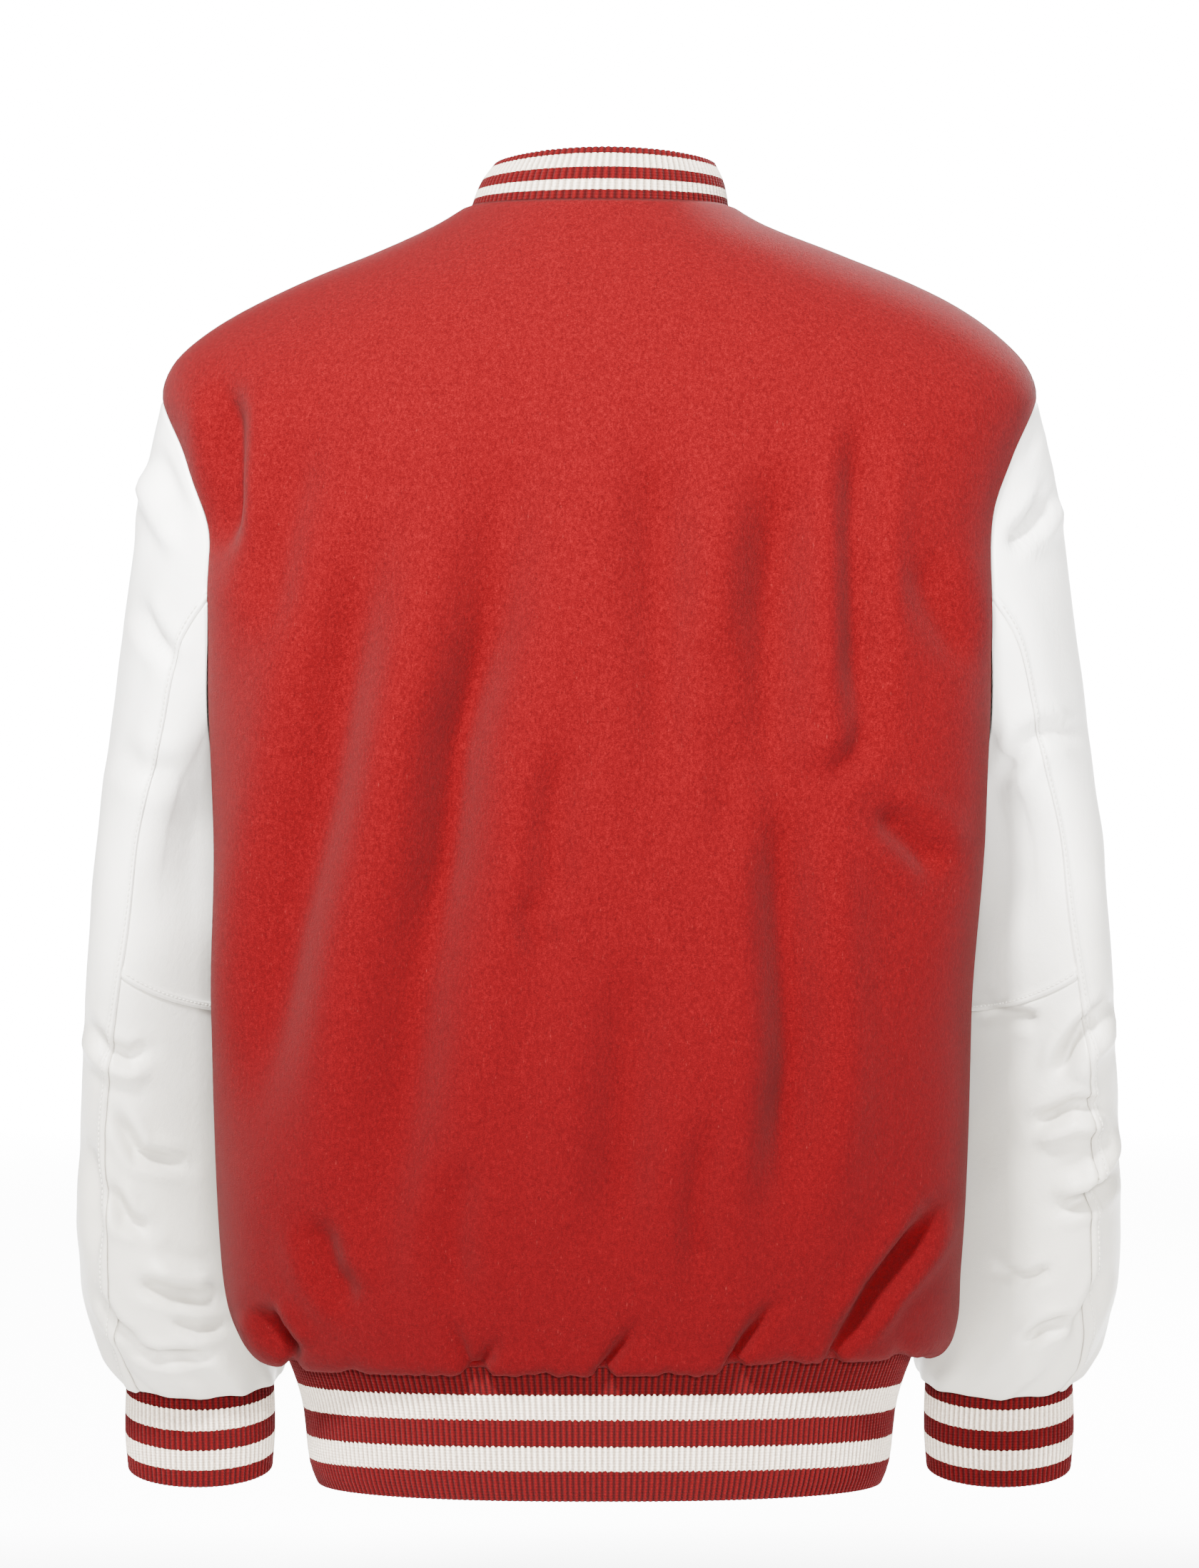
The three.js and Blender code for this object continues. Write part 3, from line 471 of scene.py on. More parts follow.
def body_relief(angle, down, p):
    """How far creases, tucks and slack draw the wool in, less the swell over the waistband."""
    s = np.sin(angle)
    side = np.where(s >= 0, 1, -1)
    facing = ease((np.abs(s) - 0.04) / 0.3)
    x, z = p[..., 0], p[..., 2]
    free = ease((down - 70) / 80) * (1 - ease((down - 728) / 22))
    depth = np.zeros(x.shape)
    for of_side, wide, deep, line in BODY_CREASES:
        trough = crease(x, z, line, CREASE_SPREAD * wide, CREASE_GAIN * deep)
        depth += np.where(side == of_side, trough, 0) * facing * free
    slack = waves(x + 0.25 * z, 3, 4, 60, 150) * waves(z - 0.3 * x, 4, 3, 160, 340)
    depth += SLACK_DEPTH * slack * facing * free * ease((down - 150) / 120)
    rise = HEM_DOWN - down
    hem = 1 - ease((down - 749) / 8)
    for of_side, foot, wide, deep, high, lean in TUCKS:
        middle = foot + lean * np.maximum(rise - 12, 0)
        fade = ease((high - rise) / (0.8 * high) + 0.2)
        wider = wide * (0.8 + 0.5 * np.clip(rise, 0, 80) / 40)
        tuck = deep * bump(x - middle, wider) * fade * hem
        depth += np.where(side == of_side, tuck, 0) * facing
    depth -= BACK_SWELL * np.where(side > 0, 1, 0) * facing * ease((30 - rise) / 22) * hem
    puckers = ring_waves(angle, 7, 4, 60, 130) * ease((24 - rise) / 20) * hem
    return depth + PUCKER_DEPTH * puckers - HEM_SWELL * ease((34 - rise) / 26) * hem


def body_surface(angle, down):
    p = body_form(angle, down)
    lowered = p - body_normal(angle, down) * body_relief(angle, down, p)[..., None]
    rising = ease((-p[..., 0] - 52) / 36) * ease(np.sin(angle) / 0.3)
    lowered[..., 2] += HEM_LIFT * rising * ease((down - 690) / 50) * (1 - 0.4 * ease((down - 750) / 7))
    return lowered


def loop_angle(around):
    return UNDERARM_TURN * (1 - np.cos(around)) / 2 + ARMHOLE_SPREAD * np.sin(around)


def loop_down(around):
    return lerp(TIP_DOWN, UNDERARM_DOWN, (1 - np.cos(around)) / 2)


def armhole(around, side):
    """A point of the armhole's loop, as on the wearer's left side."""
    angle = loop_angle(around)
    p = body_surface(angle if side > 0 else math.pi - angle, loop_down(around))
    p[..., 0] *= side
    return p


def loop_start(around, side):
    """Where a sleeve starts at each angle, and how far its sections miss the armhole there."""
    target = armhole(around, side) + ARMHOLE_OUT * SEAT_GAP
    down = SLEEVE_TOP_Z - target[..., 2]
    for _ in range(12):
        miss = ellipse_point(SLEEVE, around, down)[..., 2] - target[..., 2]
        down = np.clip(down + miss, 0, 300)
    return down, target - ellipse_point(SLEEVE, around, down)


def sleeve_form(around, share, side):
    start, shift = loop_start(around, side)
    down = lerp(start, SLEEVE_LENGTH, share)
    blend = 1 - ease(share / SLEEVE_BLEND)
    return ellipse_point(SLEEVE, around, down) + shift * blend[..., None]


def sleeve_normal(around, share, side):
    def surface(angle, at):
        return sleeve_form(angle, at, side)

    return outward(surface, around, np.clip(share, 0.004, 0.996), 0.03, 0.004)


def sleeve_relief(around, share, p, normal, side):
    """How far creases draw the leather in."""
    x, z = p[..., 0], p[..., 2]
    free = ease(share / 0.06) * (1 - ease((share - 0.965) / 0.03))
    depth = np.zeros(x.shape)
    for of_sleeve, facing, wide, deep, line in SLEEVE_CREASES:
        if of_sleeve == side:
            seen = ease(facing * normal[..., 1] / 0.35 + 0.15)
            depth += crease(x, z, line, LEATHER_SPREAD * wide, LEATHER_GAIN * deep) * seen
    slack = ring_waves(around, 11 + side, 3, 2, 7) * waves(z, 17 + side, 4, 40, 110)
    depth += LEATHER_SLACK * slack
    near_cuff = ease((share - 0.84) / 0.12) * (1 - ease((share - 0.985) / 0.015))
    gathers = ring_waves(around, 21 + side, 4, 6, 16)
    return depth * free + GATHER_DEPTH * gathers * near_cuff


def sleeve_surface(around, share, side):
    p = sleeve_form(around, share, side)
    normal = sleeve_normal(around, share, side)
    return p - normal * sleeve_relief(around, share, p, normal, side)[..., None]


# Columns and rows close together near a seam, so that its rolled edge shows
EDGE_STEPS = np.array([0, 0.35, 0.8, 1.4, 2.2, 3.2, 4.4, 5.4, 6.4, 8])
ROW_SAMPLES = 260
BACK_COLUMNS = 190
FRONT_COLUMNS = 84
SLEEVE_COLUMNS = 84

# Rows of the sleeve panels as shares of the length, which is about 440 mm beside the seams
SHARE_LENGTH = 440
EDGE_SHARES = EDGE_STEPS / SHARE_LENGTH
CUFF_SHARES = np.linspace(0.95, 1, 16)[1:]
TOP_SHARES = np.concatenate([EDGE_SHARES[:-1], np.linspace(EDGE_SHARES[-1], 0.95, 120), CUFF_SHARES])
UPPER_SHARES = np.concatenate([
    EDGE_SHARES[:-1],
    np.linspace(EDGE_SHARES[-1], ELBOW_SHARE - EDGE_SHARES[-1], 54),
    ELBOW_SHARE - EDGE_SHARES[:-1][::-1],
])
LOWER_SHARES = np.concatenate([
    ELBOW_SHARE + EDGE_SHARES[:-1],
    np.linspace(ELBOW_SHARE + EDGE_SHARES[-1], 0.95, 66),
    CUFF_SHARES,
])


def graded(length, count):
    """Distances along a length: close together at its ends and even between them."""
    end = length - EDGE_STEPS[::-1]
    middle = np.linspace(EDGE_STEPS[-1], end[0], count + 1)
    return np.concatenate([EDGE_STEPS[:-1], middle, end[1:]])


def columns_of(curve, starts, ends, count):
    """For each row, parameters at graded distances along the row, and those distances."""
    share = np.linspace(0, 1, ROW_SAMPLES + 1)
    params = starts[:, None] + (ends - starts)[:, None] * share[None, :]
    points = curve(params)
    steps = np.linalg.norm(np.diff(points, axis=1), axis=-1)
    lengths = np.concatenate([np.zeros((len(starts), 1)), np.cumsum(steps, axis=1)], axis=1)
    result, distances = [], []
    for row in range(len(starts)):
        at = graded(lengths[row, -1], count)
        result.append(np.interp(at, lengths[row], params[row]))
        distances.append(at)
    return np.array(result), np.array(distances)


def rolled(distance, deep=1.3, wide=1.1):
    """How far an edge rolls in towards its seam, at a distance from it."""
    return deep * bump(distance, wide)


def make_mesh(name, points, faces, material):
    mesh = bpy.data.meshes.new(name)
    mesh.from_pydata((points * MM).tolist(), [], faces)
    mesh.update()
    piece = bpy.data.objects.new(name, mesh)
    bpy.context.scene.collection.objects.link(piece)
    mesh.materials.append(material)
    mesh.polygons.foreach_set("use_smooth", [True] * len(mesh.polygons))
    return piece


def grid_faces(rows, columns, start=0, flip=False):
    i = np.arange(rows - 1)[:, None] * columns + np.arange(columns - 1)[None, :] + start
    quads = np.stack([i, i + 1, i + columns + 1, i + columns], axis=-1).reshape(-1, 4)
    return quads[:, ::-1] if flip else quads


def turned_out(points, faces):
    """Faces of four corners, all reversed if they turn inwards."""
    corners = points[faces]
    ways = np.cross(corners[:, 1] - corners[:, 0], corners[:, 2] - corners[:, 0])
    return faces[:, ::-1] if np.einsum("ij,ij->", corners[:, 0], ways) < 0 else faces


def wall(name, outer, inner, material):
    """A closed wall between two grids of points, its faces turned out."""
    rows, columns = outer.shape[:2]
    size = rows * columns
    points = np.concatenate([outer.reshape(-1, 3), inner.reshape(-1, 3)])
    rim = np.concatenate([
        np.arange(columns),
        np.arange(1, rows) * columns + columns - 1,
        (rows - 1) * columns + np.arange(columns - 2, -1, -1),
        np.arange(rows - 2, 0, -1) * columns,
    ])
    after = np.roll(rim, -1)
    sides = np.stack([rim, rim + size, after + size, after], axis=-1)
    faces = np.concatenate([
        grid_faces(rows, columns),
        grid_faces(rows, columns, size, flip=True),
        sides,
    ])
    return make_mesh(name, points, turned_out(points, faces).tolist(), material)


def keep(piece, nodes):
    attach(piece, "root")
    if nodes:
        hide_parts(*nodes)
    return piece


# Materials

class Nodes:
    """A material's nodes, added and joined by short calls."""

    def __init__(self, name):
        self.material = bpy.data.materials.new(name)
        self.material.use_nodes = True
        self.tree = self.material.node_tree
        self.shader = self.tree.nodes["Principled BSDF"]
        self.place = self.add("ShaderNodeTexCoord").outputs["Object"]

    def add(self, kind, **settings):
        node = self.tree.nodes.new(kind)
        for name, value in settings.items():
            setattr(node, name, value)
        return node

    def link(self, a, b):
        self.tree.links.new(a, b)

    def feed(self, name, value):
        self.link(value, self.shader.inputs[name])

    def times(self, a, b, clamp=False):
        return self.math("MULTIPLY", a, b, clamp)

    def plus(self, a, b, clamp=False):
        return self.math("ADD", a, b, clamp)

    def stretched(self, scale):
        node = self.add("ShaderNodeMapping")
        node.inputs["Scale"].default_value = scale
        self.link(self.place, node.inputs["Vector"])
        return node.outputs["Vector"]

    def noise(self, scale, detail=2, rough=0.5, vector=None):
        node = self.add("ShaderNodeTexNoise")
        node.inputs["Scale"].default_value = scale
        node.inputs["Detail"].default_value = detail
        node.inputs["Roughness"].default_value = rough
        self.link(vector or self.place, node.inputs["Vector"])
        return node.outputs["Fac"]

    def math(self, operation, a, b=None, clamp=False):
        node = self.add("ShaderNodeMath", operation=operation, use_clamp=clamp)
        for socket, value in zip(node.inputs, (a, b)):
            if value is None:
                continue
            if isinstance(value, (int, float)):
                socket.default_value = value
            else:
                self.link(value, socket)
        return node.outputs[0]

    def ramp(self, value, stops, constant=False):
        node = self.add("ShaderNodeValToRGB")
        ramp = node.color_ramp
        ramp.interpolation = "CONSTANT" if constant else "LINEAR"
        for i, (place, colour) in enumerate(stops):
            stop = ramp.elements[i] if i < 2 else ramp.elements.new(place)
            stop.position = place
            stop.color = (*colour, 1)
        self.link(value, node.inputs["Fac"])
        return node.outputs["Color"]

    def mix(self, share, a, b):
        node = self.add("ShaderNodeMix", data_type="RGBA")
        for socket, value in zip((node.inputs[0], node.inputs[6], node.inputs[7]), (share, a, b)):
            if isinstance(value, (int, float)):
                socket.default_value = value
            elif isinstance(value, tuple):
                socket.default_value = (*value, 1)
            else:
                self.link(value, socket)
        return node.outputs[2]

    def place_along(self, axis):
        split = self.add("ShaderNodeSeparateXYZ")
        self.link(self.place, split.inputs[0])
        return split.outputs[axis]

    def lowness(self, start, end, most):
        """0 above a height and rising to the given share at a lower one."""
        node = self.add("ShaderNodeMapRange", interpolation_type="SMOOTHSTEP")
        self.link(self.place_along(2), node.inputs["Value"])
        for name, value in zip(("From Min", "From Max", "To Min", "To Max"), (end, start, most, 0)):
            node.inputs[name].default_value = value
        return node.outputs["Result"]

    def bump(self, height, distance, strength=1.0, normal=None):
        node = self.add("ShaderNodeBump")
        node.inputs["Distance"].default_value = distance
        node.inputs["Strength"].default_value = strength
        self.link(height, node.inputs["Height"])
        if normal:
            self.link(normal, node.inputs["Normal"])
        return node.outputs["Normal"]

    def finish(self, **values):
        for name, value in values.items():
            self.shader.inputs[name.replace("_", " ")].default_value = value
        return self.material


WOOL_RED = (0.058, 0.0002, 0.0011)
WOOL_DARK = (0.027, 0.0001, 0.0005)
WOOL_LIGHT = (0.104, 0.0011, 0.0029)
RIB_RED = (0.060, 0.0004, 0.0010)
RIB_RED_VALLEY_SHADE = (0.022, 0.0002, 0.0004)
RIB_WHITE = (0.68, 0.59, 0.49)
RIB_WHITE_VALLEY_SHADE = (0.28, 0.22, 0.17)
LEATHER_WHITE = (0.85, 0.835, 0.80)
LEATHER_GREY = (0.42, 0.395, 0.345)
THREAD_WHITE = (0.60, 0.57, 0.51)
THREAD_RED = (0.05, 0.0004, 0.001)


def wool_material():
    n = Nodes("melton_wool")
    nap = n.noise(1500, 3, 0.7)
    tufts = n.noise(620, 3, 0.65, n.stretched((1, 1, 0.6)))
    cloud = n.noise(42, 3, 0.55)
    fibre = n.noise(1500, 1, 0.5, n.stretched((1, 1, 0.16)))
    grain = n.plus(n.times(nap, 0.6), n.times(tufts, 0.4))
    colour = n.ramp(grain, [(0.34, WOOL_DARK), (0.67, WOOL_LIGHT), (0.5, WOOL_RED)])
    mottle_and_shade = n.mix(n.times(cloud, 0.15), colour, WOOL_RED)
    # Painted shade: the wool turns darker towards the bottom, where less light reaches it
    mottle_and_shade = n.mix(n.lowness(-0.2, -0.66, 0.55), mottle_and_shade, WOOL_DARK)
    lint = n.ramp(fibre, [(0.72, (0, 0, 0)), (0.84, (1, 1, 1))])
    n.feed("Base Color", n.mix(n.times(lint, 0.1), mottle_and_shade, (0.5, 0.08, 0.07)))
    soft = n.bump(cloud, 0.0012, 0.35)
    n.feed("Normal", n.bump(grain, 0.0011, 0.75, soft))
    return n.finish(
        Roughness=0.95,
        Specular_IOR_Level=0.05,
        Sheen_Weight=0.03,
        Sheen_Roughness=0.5,
        Sheen_Tint=(1.0, 0.45, 0.42, 1),
    )


def leather_material():
    n = Nodes("white_leather")
    pebble = n.noise(1300, 2, 0.5)
    hide = n.noise(260, 4, 0.6)
    cloud = n.noise(14, 2, 0.5)
    # Painted shade: the leather turns greyer towards the bottom, where less light reaches it; the cloud
    # noise adds random tone on top
    shade = n.plus(n.times(cloud, 0.3), n.lowness(-0.1, -0.66, 1.0), clamp=True)
    n.feed("Base Color", n.mix(shade, LEATHER_WHITE, LEATHER_GREY))
    rough = n.plus(n.times(hide, 0.16), 0.38)
    n.feed("Roughness", rough)
    soft = n.bump(hide, 0.0008, 0.35)
    n.feed("Normal", n.bump(pebble, 0.0003, 0.35, soft))
    return n.finish(Specular_IOR_Level=0.45)


def rib_material(name, stripes):
    """Knit rib in UV: u counts the ribs and v is the share of the height."""
    n = Nodes(name)
    split = n.add("ShaderNodeSeparateXYZ")
    n.link(n.add("ShaderNodeUVMap", uv_map="band").outputs["UV"], split.inputs[0])
    u, v = split.outputs[0], split.outputs[1]
    rib = n.times(n.math("COSINE", n.times(u, 2 * math.pi)), 0.5)
    crest = n.plus(rib, 0.5, clamp=True)
    ragged = n.math("SUBTRACT", n.noise(700, 2, 0.5), 0.5)
    step = n.plus(n.times(ragged, 0.02), n.times(rib, 0.012))
    at = n.plus(v, step)
    stops = [(0, (0, 0, 0)), (stripes[0], (1, 1, 1)), (stripes[1], (0, 0, 0))]
    stops += [(stripes[2], (1, 1, 1)), (stripes[3], (0, 0, 0))]
    is_white = n.ramp(at, stops, constant=True)
    # Painted shade: each rib's colour darkens from its crest into the valleys between ribs
    red = n.mix(crest, RIB_RED_VALLEY_SHADE, RIB_RED)
    white = n.mix(crest, RIB_WHITE_VALLEY_SHADE, RIB_WHITE)
    yarn = n.noise(900, 3, 0.6)
    colour = n.mix(is_white, red, white)
    shade = n.ramp(yarn, [(0.3, (0.74, 0.74, 0.74)), (0.7, (1.12, 1.12, 1.12))])
    tint = n.add("ShaderNodeMix", data_type="RGBA", blend_type="MULTIPLY")
    tint.inputs[0].default_value = 1
    n.link(colour, tint.inputs[6])
    n.link(shade, tint.inputs[7])
    n.feed("Base Color", tint.outputs[2])
    courses = n.times(n.place_along(2), 2 * math.pi / LOOP_HEIGHT)
    loops = n.times(n.math("SINE", courses), 0.25)
    height = n.plus(loops, yarn)
    n.feed("Normal", n.bump(height, 0.0006, 0.7))
    return n.finish(Roughness=0.92, Specular_IOR_Level=0.05, Sheen_Weight=0.02, Sheen_Roughness=0.6)


def metal_material():
    n = Nodes("snap_metal")
    brushed = n.noise(2400, 2, 0.5, n.stretched((1, 1, 0.1)))
    n.feed("Roughness", n.plus(n.times(brushed, 0.18), 0.2))
    n.feed("Normal", n.bump(brushed, 0.00004, 0.4))
    return n.finish(Base_Color=(0.74, 0.74, 0.75, 1), Metallic=1.0)


def thread_material(name, colour):
    n = Nodes(name)
    twist = n.noise(2600, 2, 0.5)
    dark = tuple(0.72 * part for part in colour)
    n.feed("Base Color", n.mix(twist, dark, colour))
    n.feed("Normal", n.bump(twist, 0.0001, 0.6))
    return n.finish(Roughness=0.6)


wool = wool_material()
leather = leather_material()
metal = metal_material()
white_thread = thread_material("white_thread", THREAD_WHITE)
red_thread = thread_material("red_thread", THREAD_RED)


# Wool panels

def body_rows():
    """Lengths down the body, closer at the armhole's ends and the gathered hem."""
    yoke = np.linspace(0, TIP_DOWN, 46)[:-1]
    around = np.linspace(0, math.pi, 70)
    low = np.linspace(UNDERARM_DOWN, 700, 62)[1:]
    hem = np.linspace(700, HEM_DOWN, 30)[1:]
    downs = np.concatenate([yoke, loop_down(around), low, hem])
    arounds = np.concatenate([np.zeros(len(yoke)), around, np.full(len(low) + len(hem), math.pi)])
    return downs, arounds


def neck_cut(angle, normal):
    """The direction in which the wool is cut under the collar."""
    way = unit(ring_point(COLLAR, angle, 0.3) - ring_point(COLLAR, angle, 0))
    return way / np.maximum(np.sum(way * normal, axis=-1, keepdims=True), 0.72)


def mitre(own, mate):
    """The direction in which an edge is cut, between its own way out and its mate's."""
    share = ease((np.sum(own * mate, axis=-1, keepdims=True) + 0.3) / 0.8)
    way = unit(own + mate * share)
    return way / np.maximum(np.sum(way * own, axis=-1, keepdims=True), 0.75)


def front_end(rows, x, down):
    """The angle at which a ring's front has a given x."""
    row = section(rows, down)
    return -math.pi / 2 + np.arcsin(signed_power(x / row["half"], row["frontPower"] / 2))


def name_of(piece_name):
    """The node that a piece stands for: its own name without the first word."""
    return piece_name.split("_", 1)[1]


def body_panel(name, is_back, side, lap_shift, count):
    """A wool panel; lap_shift moves its front edge out or in where the fronts overlap."""
    downs, arounds = body_rows()
    edge_around = arounds if is_back else 2 * math.pi - arounds
    edge = np.where(downs > UNDERARM_DOWN, UNDERARM_TURN, np.where(arounds > 0, loop_angle(edge_around), 0))
    if is_back:
        starts, ends = edge, math.pi - edge
    else:
        starts = edge if side > 0 else -math.pi - edge
        ends = front_end(BODY, -side * LAP, downs)
    rows = downs[:, None]

    def curve(params):
        return body_form(params, np.broadcast_to(rows, params.shape))

    angles, distances = columns_of(curve, starts, ends, count)
    down = np.broadcast_to(rows, angles.shape)
    normal = body_normal(angles, down)
    across = side * body_form(angles, down)[..., 0]
    lapped = (1 - ease((across - LAP - LAP_MARGIN) / LAP_BLEND)) * (lap_shift != 0)
    eased = NECK_EASE * lapped * (down == 0) * (lap_shift < 0)
    p = body_surface(angles, down + eased) + normal * (lap_shift * lapped)[..., None]
    lengths = distances[:, -1:]
    sewn = rolled(distances - SEAM_GAP)
    far = lengths - distances
    sewn += rolled(far, 1.3 if is_back else 0.7, 1.2)
    sewn += rolled(down + 0 * far, 1.0, 1.4)
    p = p - normal * sewn[..., None]
    cut = normal.copy()
    cut[0] = neck_cut(angles[0], normal[0])
    at_armhole = (arounds > 0) & (downs <= UNDERARM_DOWN)
    mate = sleeve_normal(edge_around, np.zeros(len(edge_around)), side)
    mirrored = on_side(mate, -1)
    first_mate = mate if side > 0 or is_back else mirrored
    cut[at_armhole, 0] = mitre(normal[:, 0], first_mate)[at_armhole]
    if is_back:
        cut[at_armhole, -1] = mitre(normal[:, -1], mirrored)[at_armhole]
    return keep(wall(name, p, p - cut * WOOL, wool), [name_of(name)])


back = body_panel("wool_back", True, 1, 0, BACK_COLUMNS)
front_left = body_panel("wool_front_left", False, 1, LAP_STEP, FRONT_COLUMNS)
front_right = body_panel("wool_front_right", False, -1, -LAP_STEP, FRONT_COLUMNS)


# Leather sleeves

def seam_angle(share):
    return np.radians(section(SEAM, share)["angle"])


def under_share(around, seam, share):
    """The rows of the under panels rise between their seams, so that the elbow seam is nearly straight."""
    across = np.sin(math.pi * (around - seam) / (FRONT_SEAM_ANGLE - seam))
    near = np.where(share < ELBOW_SHARE, share / ELBOW_SHARE, (1 - share) / (1 - ELBOW_SHARE))
    return share - ELBOW_RISE * across * near


def welt(distance):
    """The raised strip beside a topstitched seam, where the allowances lie under the leather."""
    return WELT_HEIGHT * (1 - ease((distance - WELT_WIDTH) / 1.6))


def stitch_dimple(distance):
    return 0.6 * bump(distance - WELT_WIDTH + STITCH_INSET, 0.8)


def sleeve_grid(side, shares, is_top, count):
    """Angles, distances along each row, points and normals of a sleeve panel."""
    seam = seam_angle(shares)
    starts = np.full(len(shares), FRONT_SEAM_ANGLE) if is_top else seam
    ends = 2 * math.pi + seam if is_top else np.full(len(shares), FRONT_SEAM_ANGLE)
    rows = shares[:, None]

    def curve(params):
        return sleeve_form(params, np.broadcast_to(rows, params.shape), side)

    around, distances = columns_of(curve, starts, ends, count)
    share = np.broadcast_to(rows, around.shape)
    if not is_top:
        share = under_share(around, seam[:, None], share)
    p = sleeve_surface(around, share, side)
    normal = sleeve_normal(around, share, side)
    return around, distances, p, normal


def sleeve_panel(name, side, shares, is_top, past_start, before_end):
    """A leather panel, with how far each row is past its first edge and before a topstitched last one."""
    around, distances, p, normal = sleeve_grid(side, shares, is_top, SLEEVE_COLUMNS)
    far = distances[:, -1:] - distances
    relief = rolled(distances, 1.0) + rolled(far, 1.0)
    if is_top:
        relief -= welt(far) - stitch_dimple(far)
        relief -= welt(distances) - stitch_dimple(distances)
    relief = relief + rolled(past_start[:, None] * SHARE_LENGTH, 1.0)
    if before_end is not None:
        below = before_end[:, None] * SHARE_LENGTH
        relief = relief + rolled(below, 1.0) - (welt(below) - stitch_dimple(below))
    p = p - normal * relief[..., None]
    cut = normal.copy()
    if shares[0] == 0:
        body_way = body_normal(loop_angle(around[0]), loop_down(around[0]))
        cut[0] = mitre(normal[0], body_way)
    q = p - cut * LEATHER
    panel = wall(name, on_side(p, side), on_side(q, side), leather)
    return keep(panel, [name_of(name)])


def stitches(name, path, normals, material, length=2.5, space=3.3, thick=0.42):
    """Short raised threads along a path of points, joined as one mesh."""
    travelled = travel(path)
    starts = np.arange(1.2, travelled[-1] - length - 1, space)
    sides, rings = 6, ((0, 0.2), (0.16, 0.85), (0.5, 1), (0.84, 0.85), (1, 0.2))
    points, faces = [], []
    for start in starts:
        ends = [
            np.array([np.interp(s, travelled, path[:, k]) for k in range(3)])
            for s in (start, start + length)
        ]
        way = unit(ends[1] - ends[0])
        up = unit(np.array([np.interp(start, travelled, normals[:, k]) for k in range(3)]))
        across = unit(np.cross(way, up))
        base = len(points)
        for share, size in rings:
            centre = lerp(ends[0], ends[1], share) + up * (0.12 * size - 0.05)
            for k in range(sides):
                turn = 2 * math.pi * k / sides
                offset = across * math.cos(turn) * 1.1 + up * math.sin(turn)
                points.append(centre + offset * thick * size)
        for ring in range(len(rings) - 1):
            for k in range(sides):
                i = base + ring * sides + k
                j = base + ring * sides + (k + 1) % sides
                faces.append([i, j, j + sides, i + sides])
        faces.append([base + k for k in reversed(range(sides))])
        last = base + (len(rings) - 1) * sides
        faces.append([last + k for k in range(sides)])
    piece = make_mesh(name, np.array(points), faces, material)
    return keep(piece, [])


def sleeve_stitching(side, word):
    """Topstitching beside the back seam and above the elbow seam."""
    _, distances, p, normal = sleeve_grid(side, TOP_SHARES, True, 60)
    far = distances[:, -1:] - distances
    column = np.argmin(np.abs(far[len(far) // 2] - (WELT_WIDTH - STITCH_INSET)))
    lift = WELT_HEIGHT - 0.3
    rows = (TOP_SHARES > 0.012) & (TOP_SHARES < 0.975)
    path = on_side((p + normal * lift)[rows, column], side)
    ways = on_side(normal[rows, column], side)
    stitches("back_seam_thread_" + word, path, ways, white_thread)
    _, _, p, normal = sleeve_grid(side, UPPER_SHARES, False, 60)
    above = (ELBOW_SHARE - UPPER_SHARES) * SHARE_LENGTH
    row = np.argmin(np.abs(above - (WELT_WIDTH - STITCH_INSET)))
    path = on_side((p + normal * lift)[row], side)
    ways = on_side(normal[row], side)
    stitches("elbow_thread_" + word, path[4:-4], ways[4:-4], white_thread)


for word, side in (("left", 1), ("right", -1)):
    sleeve_panel("leather_sleeve_top_" + word, side, TOP_SHARES, True, TOP_SHARES, None)
    above_elbow = ELBOW_SHARE - UPPER_SHARES
    sleeve_panel("leather_sleeve_upper_" + word, side, UPPER_SHARES, False, UPPER_SHARES, above_elbow)
    below_elbow = LOWER_SHARES - ELBOW_SHARE
    sleeve_panel("leather_sleeve_lower_" + word, side, LOWER_SHARES, False, below_elbow, None)
    sleeve_stitching(side, word)


# Rib bands

def even_angles(curve, start, end, count):
    """Angles at even distances along a curve."""
    share = np.linspace(0, 1, 2400)
    params = start + (end - start) * share
    points = curve(params)
    lengths = travel(points)
    return np.interp(np.linspace(0, lengths[-1], count + 1), lengths, params)


